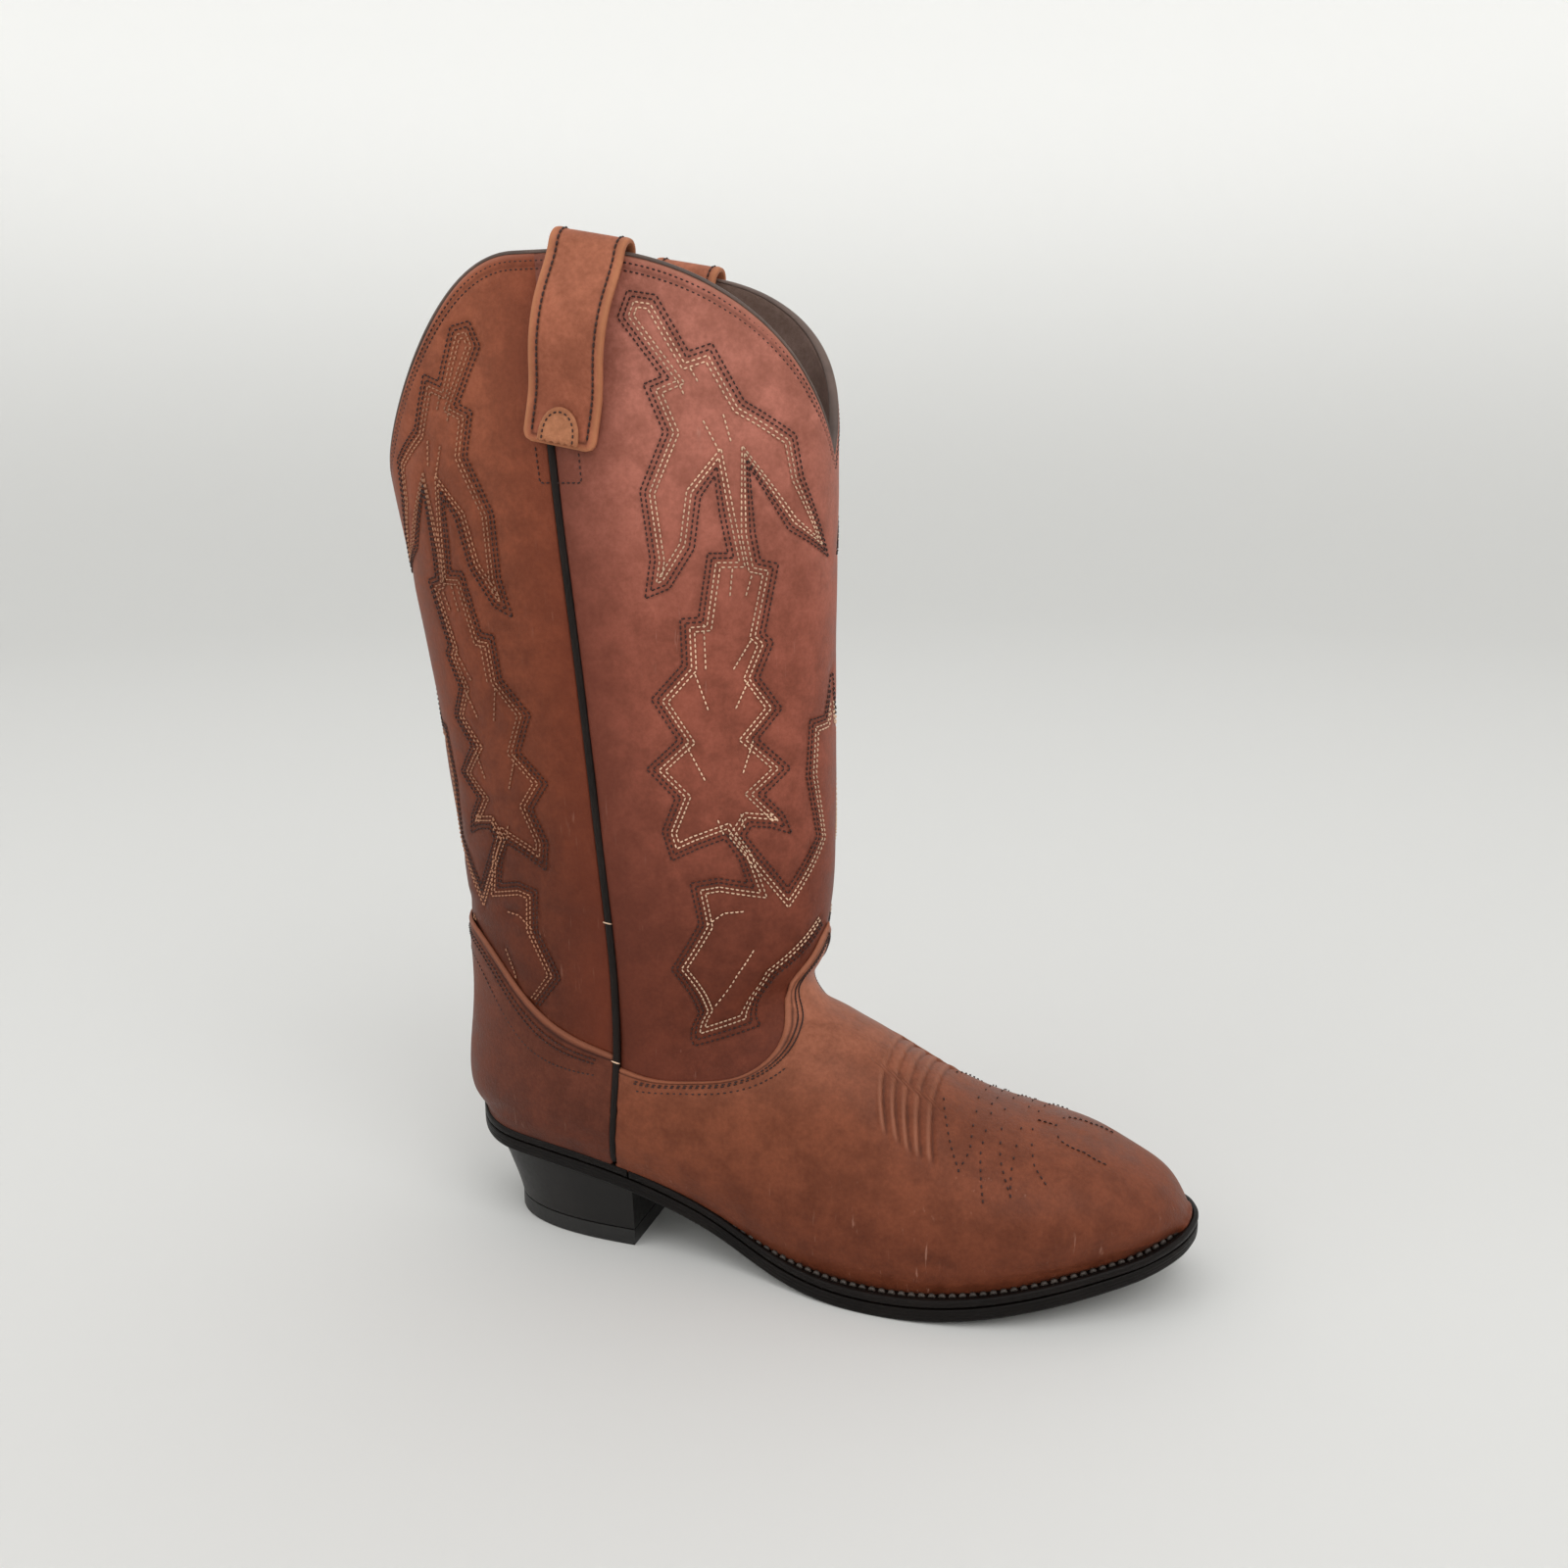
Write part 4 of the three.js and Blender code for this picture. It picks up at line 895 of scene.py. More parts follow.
HEEL_FOOT_SIZE = (61.0, 32.5)
HEEL_TOP_SIZE = (78.5, 36.0)
LIFT_TOP = FLOOR + 6.8


def heel_ring(share, count):
    """Ring of the heel at a share of its height; its top follows the underside of the sole."""
    low = LIFT_TOP + 0.3
    z = np.full(count + count // 3 - 2, low + share * 25.0)
    for _ in range(6):
        flare = (np.clip(z - LIFT_TOP, 0, None) / (feather_height(0.0) - LIFT_TOP)) ** 1.25
        length = HEEL_FOOT_SIZE[0] + (HEEL_TOP_SIZE[0] - HEEL_FOOT_SIZE[0]) * flare
        half = HEEL_FOOT_SIZE[1] + (HEEL_TOP_SIZE[1] - HEEL_FOOT_SIZE[1]) * flare
        unit_plan = (heel_plan(1.0, 1.0, count) - [HEEL_BREAST, 0]) * np.stack([length, half], -1)
        top = feather_height(HEEL_BREAST + unit_plan[:, 0]) - 8.8
        z = low + (top - low) * share
    return np.stack([HEEL_BREAST + unit_plan[:, 0], unit_plan[:, 1], z], -1)


def inset(ring, amount):
    """Ring drawn in towards its own middle by about amount."""
    middle = ring.mean(0)
    away = ring - middle
    away[:, 2] = 0
    return ring - unit(away) * amount


# ------------------------------------------------------------------ straps
STRAP_LEAN, STRAP_YAW = 0.187, 0.04
STRAP_HALF, STRAP_THICK = 13.5, 2.4


def strap_axes(side):
    """The strap's foot on the shaft and its up, out and across directions."""
    t, turn = locate(71.0, 309.5)
    around = turn if side < 0 else 2 - turn
    foot = skin(t, around, 0.0)
    up = np.array([np.sin(STRAP_LEAN), 0, np.cos(STRAP_LEAN)])
    out = np.array([np.sin(STRAP_YAW), side * np.cos(STRAP_YAW), 0])
    out = unit(out - up * (out @ up))
    rise = (TOP_HEIGHT + 1.8 - foot[2]) / np.cos(STRAP_LEAN)
    t, turn = locate(foot[0] + np.sin(STRAP_LEAN) * rise, TOP_HEIGHT - 1)
    rim = abs(skin(t, turn, 0.0)[1]) - abs(foot[1])
    return foot, up, out, np.cross(up, out), rise, rim


PIPING_RADIUS = 1.7
CORD_RADIUS = 1.45  # the covered cord stands a little inside its channel
PIPING_SUNK = LINING_OUT + 0.3 + PIPING_RADIUS
STRAP_FOOT_OUT = PIPING_RADIUS + PIPING_SUNK + 0.6 + STRAP_THICK / 2


def strap_path(rise, rim):
    """Up the outside, over the top line in a half circle and down the inside, as (up, out)."""
    half, wall = STRAP_THICK / 2, 3.5
    radius = wall / 2 + half + 1.9
    path = [[-1, STRAP_FOOT_OUT], [6, STRAP_FOOT_OUT], [16, STRAP_FOOT_OUT + 0.2], [30, 6.6 + half], [48, 6 + half]]
    angles = np.linspace(0, np.pi, 13)
    arc = np.stack([rise - 1.2 + radius * np.sin(angles), rim - wall / 2 + radius * np.cos(angles)], -1)
    inside = -wall - half - 1.6
    tail = [[30, inside - 1.2], [10, inside], [-12, inside]]
    points = np.concatenate([path, arc, tail])
    knots = run_length(points)
    return natural_spline(knots, points)(np.linspace(0, knots[-1], 190)), knots[-1]


def strap_profile(half_width, rows):
    """Outline as (out, across), a flat superellipse whose middle is inlaid below its rolled edges, and each point's
    distance to the edge."""
    angle = np.linspace(0, 2 * np.pi, rows, endpoint=False)
    across = np.sign(np.cos(angle)) * np.abs(np.cos(angle)) ** 0.35
    out = np.sign(np.sin(angle)) * np.abs(np.sin(angle)) ** 0.5 * STRAP_THICK / 2
    edge = (1 - np.abs(across)) * STRAP_HALF
    sunk = 0.5 * smooth_step(edge, 2.6, 3.8) + 0.25 * bump(edge, 2.9, 0.5)
    out = np.where(out > 0.3, out - sunk, out)
    return np.stack([np.broadcast_to(out, (len(half_width), rows)), half_width[:, None] * across], -1), edge


# ------------------------------------------------------------------ materials


def node(tree, kind, sockets=None, **settings):
    """New shader node with its settings, its input values and its incoming links."""
    made = tree.nodes.new(kind)
    for key, value in settings.items():
        setattr(made, key, value)
    for key, value in (sockets or {}).items():
        if isinstance(value, bpy.types.NodeSocket):
            tree.links.new(value, made.inputs[key])
        else:
            made.inputs[key].default_value = value
    return made


def math_node(tree, operation, a, b=0.0, clamp=False):
    """Output of a Math node."""
    return node(tree, "ShaderNodeMath", {0: a, 1: b}, operation=operation, use_clamp=clamp).outputs[0]


def mix_color(tree, factor, a, b, mode="MIX"):
    """Colour output of a Mix node between two colours or sockets."""
    made = node(tree, "ShaderNodeMix", {"Factor": factor}, data_type="RGBA", blend_type=mode)
    for socket, value in ((made.inputs[6], a), (made.inputs[7], b)):
        if isinstance(value, bpy.types.NodeSocket):
            tree.links.new(value, socket)
        else:
            socket.default_value = value
    return made.outputs[2]


def map_range(tree, value, low, high, to_low=0.0, to_high=1.0, smooth=True):
    """A value's range turned to another, held at its ends; smooth makes it 3 s^2 - 2 s^3 between."""
    kind = "SMOOTHSTEP" if smooth else "LINEAR"
    made = node(
        tree,
        "ShaderNodeMapRange",
        {"Value": value, "From Min": low, "From Max": high, "To Min": to_low, "To Max": to_high},
        interpolation_type=kind,
        clamp=True,
    )
    return made.outputs[0]


def new_group(name, inputs, outputs):
    """Empty node group with float or colour sockets, and its two end nodes."""
    tree = bpy.data.node_groups.new(name, "ShaderNodeTree")
    for label, kind, value in inputs:
        socket = tree.interface.new_socket(label, in_out="INPUT", socket_type=kind)
        socket.default_value = value
    for label, kind in outputs:
        tree.interface.new_socket(label, in_out="OUTPUT", socket_type=kind)
    return tree, tree.nodes.new("NodeGroupInput"), tree.nodes.new("NodeGroupOutput")


def noise(tree, vector, scale, detail=4.0, roughness=0.55):
    """Noise value at a vector."""
    sockets = {"Vector": vector, "Scale": scale, "Detail": detail, "Roughness": roughness}
    return node(tree, "ShaderNodeTexNoise", sockets).outputs["Fac"]


def grain_group():
    """Fine nap and pores: crossed noises for the height, and two sizes of blotch for the colour."""
    tree, given, out = new_group(
        "Leather Grain",
        [("Scale", "NodeSocketFloat", 1.0)],
        [("Height", "NodeSocketFloat"), ("Fleck", "NodeSocketFloat"), ("Blotch", "NodeSocketFloat")],
    )
    place = node(tree, "ShaderNodeTexCoord").outputs["Object"]
    scaled = node(tree, "ShaderNodeVectorMath", {0: place}, operation="SCALE")
    tree.links.new(given.outputs["Scale"], scaled.inputs["Scale"])
    vector = scaled.outputs[0]
    cells = node(tree, "ShaderNodeTexVoronoi", {"Vector": vector, "Scale": 820.0}, feature="SMOOTH_F1")
    fine = noise(tree, vector, 1500.0, 3.0, 0.6)
    nap = noise(tree, vector, 620.0, 5.0, 0.65)
    height = math_node(tree, "ADD", math_node(tree, "MULTIPLY", cells.outputs["Distance"], 0.5), fine)
    tree.links.new(math_node(tree, "ADD", height, nap), out.inputs["Height"])
    tree.links.new(map_range(tree, nap, 0.32, 0.68), out.inputs["Fleck"])
    broad = math_node(tree, "ADD", noise(tree, vector, 34.0, 6.0, 0.62), noise(tree, vector, 120.0, 4.0, 0.6))
    tree.links.new(map_range(tree, broad, 0.78, 1.24), out.inputs["Blotch"])
    return tree


def scuff_group():
    """Long thin rubs that run mostly downwards, broken up by a coarse noise."""
    tree, given, out = new_group(
        "Leather Scuffs", [("Amount", "NodeSocketFloat", 0.5)], [("Mask", "NodeSocketFloat")]
    )
    place = node(tree, "ShaderNodeTexCoord").outputs["Object"]
    long = node(
        tree, "ShaderNodeMapping", {"Vector": place, "Rotation": (0.1, 0.25, 0.0), "Scale": (1.0, 1.0, 0.11)}
    ).outputs[0]
    streaks = map_range(tree, noise(tree, long, 520.0, 3.0, 0.6), 0.62, 0.78)
    where = map_range(tree, noise(tree, place, 22.0, 3.0, 0.5), 0.5, 0.68)
    mask = math_node(tree, "MULTIPLY", math_node(tree, "MULTIPLY", streaks, where), given.outputs["Amount"], True)
    tree.links.new(mask, out.inputs["Mask"])
    return tree


def line_group():
    """One on a line at a distance, falling to nothing a width away."""
    tree, given, out = new_group(
        "Line Mask",
        [("Distance", "NodeSocketFloat", 0.0), ("Centre", "NodeSocketFloat", 0.0), ("Width", "NodeSocketFloat", 1.0)],
        [("Mask", "NodeSocketFloat")],
    )
    away = math_node(tree, "SUBTRACT", given.outputs["Distance"], given.outputs["Centre"])
    share = math_node(tree, "DIVIDE", math_node(tree, "ABSOLUTE", away), given.outputs["Width"])
    tree.links.new(math_node(tree, "SUBTRACT", 1.0, share, True), out.inputs["Mask"])
    return tree


def use_group(tree, name, **sockets):
    """A shared effect placed in a material with its own values or links."""
    made = node(tree, "ShaderNodeGroup", node_tree=bpy.data.node_groups[name])
    for key, value in sockets.items():
        label = key.capitalize()
        if isinstance(value, bpy.types.NodeSocket):
            tree.links.new(value, made.inputs[label])
        else:
            made.inputs[label].default_value = value
    return made


def attribute(tree, name):
    """A mesh attribute's value."""
    return node(tree, "ShaderNodeAttribute", attribute_name=name).outputs["Fac"]


def linear(red, green, blue):
    """Colour from 0-255 display values to scene values."""
    share = np.array([red, green, blue]) / 255
    value = np.where(share <= 0.04045, share / 12.92, ((share + 0.055) / 1.055) ** 2.4)
    return (*value.tolist(), 1.0)


def new_material(name, shown):
    """Material with its node tree and shader; shown is its colour in the viewport."""
    material = bpy.data.materials.new(name)
    material.use_nodes = True
    material.diffuse_color = shown
    tree = material.node_tree
    return material, tree, tree.nodes["Principled BSDF"]


def bump_normal(tree, shader, height, strength, distance):
    """Fine relief from a height, its depth in millimetres."""
    made = node(tree, "ShaderNodeBump", {"Height": height, "Strength": strength, "Distance": distance * MM})
    tree.links.new(made.outputs[0], shader.inputs["Normal"])


def leather_material(name, low, middle, high, heights, marks, roughness, scuffs=0.5):
    """Nubuck leather: colour by height, lighter to the top partly as a painted sheen of the light from above,
    blotches and flecks, painted shade in the grooves along stitch rows, edges and creases, pale rubbed edges.
    marks are (attribute, centre, width, colour, amount)."""
    material, tree, shader = new_material(name, middle)
    place = node(tree, "ShaderNodeTexCoord").outputs["Object"]
    z = node(tree, "ShaderNodeSeparateXYZ", {"Vector": place}).outputs["Z"]
    # Blend by height: the upper colour is lighter partly as a painted sheen of the light from above.
    color = mix_color(tree, map_range(tree, z, heights[0], heights[1]), low, middle)
    color = mix_color(tree, map_range(tree, z, heights[1], heights[2]), color, high)
    grain = use_group(tree, "Leather Grain", scale=1.0)
    dark = mix_color(tree, 1.0, color, (0.8, 0.76, 0.72, 1), "MULTIPLY")
    pale = mix_color(tree, 1.0, color, (1.14, 1.14, 1.14, 1), "MULTIPLY")
    color = mix_color(tree, grain.outputs["Blotch"], dark, pale)
    fleck = mix_color(tree, 1.0, color, (0.7, 0.66, 0.62, 1), "MULTIPLY")
    color = mix_color(tree, math_node(tree, "MULTIPLY", grain.outputs["Fleck"], 0.55), color, fleck)
    rub = use_group(tree, "Leather Scuffs", amount=scuffs)
    color = mix_color(tree, rub.outputs["Mask"], color, mix_color(tree, 0.35, high, (0.6, 0.42, 0.34, 1)))
    for source, centre, width, tint, amount in marks:
        mask = use_group(tree, "Line Mask", distance=attribute(tree, source), centre=centre, width=width)
        color = mix_color(tree, math_node(tree, "MULTIPLY", mask.outputs["Mask"], amount), color, tint)
    tree.links.new(color, shader.inputs["Base Color"])
    rough = map_range(tree, grain.outputs["Blotch"], 0, 1, roughness - 0.06, roughness + 0.08, False)
    tree.links.new(rough, shader.inputs["Roughness"])
    shader.inputs["Specular IOR Level"].default_value = 0.18
    shader.inputs["Sheen Weight"].default_value = 0.04
    shader.inputs["Sheen Roughness"].default_value = 0.45
    shader.inputs["Sheen Tint"].default_value = (0.9, 0.68, 0.58, 1)
    bump_normal(tree, shader, grain.outputs["Height"], 0.6, 0.2)
    return material


def plain_material(name, color, roughness, bump_scale, bump_depth, coat=0.0, metal=0.0, vary=0.25, shine=0.5):
    """Even finish with a fine noise in colour and relief."""
    material, tree, shader = new_material(name, color)
    place = node(tree, "ShaderNodeTexCoord").outputs["Object"]
    rough_noise = noise(tree, place, bump_scale, 4.0, 0.6)
    shade = mix_color(tree, 1.0, color, (1 - vary, 1 - vary, 1 - vary, 1), "MULTIPLY")
    light = mix_color(tree, 1.0, color, (1 + vary, 1 + vary, 1 + vary, 1), "MULTIPLY")
    tint = mix_color(tree, map_range(tree, noise(tree, place, 45.0, 5.0, 0.6), 0.35, 0.65), shade, light)
    tree.links.new(tint, shader.inputs["Base Color"])
    rough = map_range(tree, rough_noise, 0.3, 0.7, roughness - 0.05, roughness + 0.07, False)
    tree.links.new(rough, shader.inputs["Roughness"])
    shader.inputs["Metallic"].default_value = metal
    shader.inputs["Specular IOR Level"].default_value = shine
    shader.inputs["Coat Weight"].default_value = coat
    shader.inputs["Coat Roughness"].default_value = 0.25
    bump_normal(tree, shader, rough_noise, 0.4, bump_depth)
    return material


MATERIALS = {}


def leathers(colors):
    """The leather finishes. Shaft: redder and darker beside the seam, with painted shade along the stitch rows and
    below the rim. Foot: painted shade in the grooves and creases, pale rubbed edges and paler raised folds.
    """
    # crease_shade is painted shade: a dark tint laid into the stitch grooves, below the shaft's rim, under the folded
    # foot edges, in the strap's inlay and in the walking creases.
    crease_shade, bead = linear(48, 24, 18), linear(176, 116, 96)
    rows = [("stitch", 0.0, 1.0, crease_shade, 0.05), ("rim", 3.2, 1.0, crease_shade, 0.35), ("rim", 0.0, 1.4, bead, 0.75)]
    foot = [
        ("edge", 2.1, 0.7, crease_shade, 0.7),
        ("edge", 0.3, 1.3, linear(160, 100, 74), 0.6),
        ("crease_shade", 1.0, 0.8, crease_shade, 0.4),
        ("fold", 1.0, 0.8, linear(176, 118, 92), 0.45),
    ]
    strap_edge = [("edge", 3.4, 0.8, crease_shade, 0.6), ("edge", 0.8, 2.2, linear(190, 126, 88), 0.7)]
    tab, tab_edge = linear(186, 124, 90), [("edge", 1.0, 1.0, linear(150, 92, 64), 0.4)]
    front_seam, back_seam = linear(92, 42, 28), linear(120, 52, 30)
    # key: name, low colour, middle colour, high colour, the heights in metres of the three, marks, roughness, scuffs;
    # the paler high colours are partly a painted sheen of the light from above
    finishes = {
        "shaft": (
            "Shaft leather", linear(110, 54, 37), colors.shaft, linear(192, 122, 106), (0.1, 0.22, 0.37),
            [*rows, ("seam", 0.0, 30.0, front_seam, 0.7)], 0.5, 0.5,
        ),
        # The back panel's leather is browner than the front, and darker partly as painted shade of the side turned
        # from the light.
        "back": (
            "Back shaft leather", linear(96, 46, 29), colors.back, linear(156, 88, 62), (0.12, 0.22, 0.37),
            [*rows, ("seam", 0.0, 24.0, back_seam, 0.5)], 0.5, 0.5,
        ),
        "vamp": (
            "Vamp leather", linear(112, 57, 36), colors.vamp, linear(184, 118, 92), (0.02, 0.06, 0.125),
            foot, 0.46, 0.7,
        ),
        "counter": (
            "Counter leather", linear(96, 48, 33), colors.counter, linear(112, 60, 42), (0.04, 0.08, 0.13),
            foot, 0.48, 0.8,
        ),
        "strap": (
            "Strap leather", linear(166, 96, 70), colors.strap, linear(178, 110, 84), (0.28, 0.32, 0.38),
            strap_edge, 0.6, 0.1,
        ),
        "tab": ("Tab leather", tab, tab, linear(190, 128, 94), (0.28, 0.3, 0.33), tab_edge, 0.55, 0.0),
        "lining": (
            "Lining leather", linear(104, 84, 74), colors.lining, linear(124, 102, 94), (0.05, 0.2, 0.37),
            [], 0.62, 0.1,
        ),
    }
    for key, (name, low, middle, high, heights, marks, roughness, scuffs) in finishes.items():
        MATERIALS[key] = leather_material(name, low, tuple(middle), high, heights, marks, roughness, scuffs)


def plain_finishes(colors):
    """Black trim, sole and heel, threads, and the finishes of the inner pieces."""
    # key: name, colour, roughness, scale and depth in millimetres of the relief, and what is not as usual
    finishes = {
        "black": ("Black trim", linear(24, 16, 13), 0.5, 900.0, 0.12, {"shine": 0.2}),
        "binding": ("Dyed edge", linear(92, 74, 66), 0.5, 900.0, 0.1, {}),
        "sole": ("Black sole leather", colors.sole, 0.42, 700.0, 0.12, {"shine": 0.16}),
        "welt": ("Black welt", linear(19, 14, 12), 0.45, 800.0, 0.15, {"shine": 0.16}),
        "heel": ("Stacked heel, black", linear(18, 14, 12), 0.42, 500.0, 0.08, {"shine": 0.36}),
        "lift": ("Black rubber lift", linear(25, 23, 22), 0.5, 700.0, 0.1, {}),
        "dark_thread": ("Dark thread", colors.dark_thread, 0.55, 2500.0, 0.1, {}),
        "pale_thread": ("Cream thread", colors.pale_thread, 0.5, 2500.0, 0.1, {}),
        # A darker copy of the cream thread, as painted shade on the back panel.
        "tan_thread": ("Shaded cream thread", colors.tan_thread, 0.5, 2500.0, 0.1, {}),
        "welt_thread": ("Grey welt thread", linear(66, 58, 53), 0.5, 2500.0, 0.1, {}),
        "board": ("Leather board", linear(178, 146, 110), 0.8, 600.0, 0.1, {}),
        "cork": ("Cork", linear(140, 106, 68), 0.9, 300.0, 0.3, {}),
        "steel": ("Steel", linear(170, 174, 178), 0.32, 900.0, 0.03, {"metal": 0.9}),
    }
    for key, (name, tint, roughness, scale, depth, rest) in finishes.items():
        MATERIALS[key] = plain_material(name, tuple(tint), roughness, scale, depth, **rest)


# ------------------------------------------------------------------ settings


def length(name, text, millimetres, least=0.0):
    """Property for a length, kept in metres."""
    return FloatProperty(
        name=name, description=text, default=millimetres * MM, min=least * MM, unit="LENGTH", precision=5
    )


def color(name, text, red, green, blue):
    """Property for a colour, from 0-255 display values."""
    return FloatVectorProperty(
        name=name, description=text, default=linear(red, green, blue), size=4, min=0, max=1, subtype="COLOR"
    )


def in_mm(settings):
    """The lengths of a settings group in millimetres, to single precision."""
    values = {key: getattr(settings, key) / MM for key in settings.__annotations__}
    return SimpleNamespace(**{key: float(np.float32(round(value, 5))) for key, value in values.items()})


class BootLeatherSettings(bpy.types.PropertyGroup):
    """Relief of the leather."""

    grid: length("Grid", "Spacing of the shaft's surface grid", 1.25, 0.8)
    foot_grid: length("Foot grid", "Spacing of the grid on vamp and counter", 1.2, 0.8)
    puff: length("Puff", "Height of the leather between stitch rows", 0.5)
    groove: length("Groove", "Depth of the leather at a stitch row", 0.3)
    bead: length("Bead", "Height of the folded top edges", 0.45)
    wrinkle: length("Wrinkle", "Depth of the walking creases", 1.1)


class BootStitchSettings(bpy.types.PropertyGroup):
    """Thread sizes."""

    pitch: length("Pitch", "Spacing of the upper's stitches", 1.95, 1.0)
    length: length("Length", "Length of one stitch", 1.35, 0.5)
    radius: length("Radius", "Half thickness of the thread", 0.29, 0.1)
    welt_pitch: length("Welt pitch", "Spacing of the welt stitches", 3.7, 2.0)
    welt_radius: length("Welt radius", "Half thickness of the welt thread", 0.9, 0.3)


class BootColorSettings(bpy.types.PropertyGroup):
    """Colours of the leathers, the sole and the threads."""

    shaft: color("Front shaft", "Front shaft leather at mid height", 152, 84, 67)
    # Browner than the front shaft, and darker partly as painted shade of the back turned from the light.
    back: color("Back shaft", "Back shaft leather at mid height", 122, 62, 40)
    vamp: color("Vamp", "Vamp leather above the toe", 128, 70, 47)
    counter: color("Counter", "Counter leather", 104, 54, 38)
    strap: color("Straps", "Pull strap leather", 168, 98, 74)
    lining: color("Lining", "Lining leather", 112, 92, 84)
    sole: color("Sole", "Outsole edge", 16, 12, 10)
    dark_thread: color("Dark thread", "Outer rows and seams", 50, 25, 20)
    pale_thread: color("Cream thread", "Inner rows of the front panel", 226, 190, 160)
    # The back panel's inner rows: the cream thread painted darker, as painted shade of the back panel.
    tan_thread: color("Shaded cream thread", "Inner rows of the back panel", 172, 120, 90)


class BootStageSettings(bpy.types.PropertyGroup):
    """Camera and floor."""

    azimuth: FloatProperty(
        name="Azimuth", description="Camera's turn round the boot", default=np.radians(17.979), subtype="ANGLE"
    )
    elevation: FloatProperty(
        name="Elevation", description="Camera's rise", default=np.radians(13.034), subtype="ANGLE"
    )
    roll: FloatProperty(name="Roll", description="Camera's roll", default=np.radians(-0.296), subtype="ANGLE")
    lens: FloatProperty(
        name="Lens", description="Focal length on a 36 mm sensor", default=33.525, unit="CAMERA"
    )
    place: FloatVectorProperty(
        name="Place", description="Camera's position", default=(0.16238, -0.51033, 0.30804), subtype="TRANSLATION"
    )
    floor_radius: FloatProperty(
        name="Floor", description="Radius of the flat floor", default=2.2, unit="LENGTH"
    )
    sides: IntProperty(name="Sides", description="Segments of the backdrop", default=96, min=12)


# ------------------------------------------------------------------ operators


class BOOT_OT_materials(bpy.types.Operator):
    """Finishes of every piece: shared grain, scuff and line effects, each placed with its own values. A leather's
    colour is a blend of three by height, lighter to the top partly as a painted sheen, times blotches and flecks,
    with painted shade in the grooves and creases and rubbed edges over it."""

    bl_idname = "boot.materials"
    bl_label = "Make finishes"

    def execute(self, context):
        for make in (grain_group, scuff_group, line_group):
            make()
        leathers(context.scene.boot_colors)
        plain_finishes(context.scene.boot_colors)
        return {"FINISHED"}


class BOOT_OT_shaft(bpy.types.Operator):
    """Front and back shaft panels. Each point is the last's surface point plus its normal times a lift: the lift
    sinks at every stitch row, rises between rows like 1 - exp(-distance), and dips along the rim."""

    bl_idname = "boot.shaft"
    bl_label = "Build shaft panels"

    def execute(self, context):
        leather = in_mm(context.scene.boot_leather)
        panels = ((True, "front_shaft_panel", "shaft", 206, 300), (False, "back_shaft_panel", "back", 232, 292))
        for front, name, finish, width, tall in panels:
            c = np.linspace(-1, 1, int(width / leather.grid) + 1)
            rows = int(tall / leather.grid)
            t, around = panel_grid(c, front, vamp_low if front else counter_low, rows)
            lift, near, rim = shaft_lift(t, around, not front, leather)
            outer = skin(t, around, SHAFT_OUT + lift)
            inner = skin(t, around, np.full(t.shape, SHAFT_IN))
            seam = np.abs(SURFACE.read(SURFACE.arc, t, fold(around)[0]))
            points, faces, values = shell(outer, inner, {"stitch": near, "rim": rim, "seam": seam})
            add_object(name + "_leather", points, faces, MATERIALS[finish], [name], values)
        return {"FINISHED"}


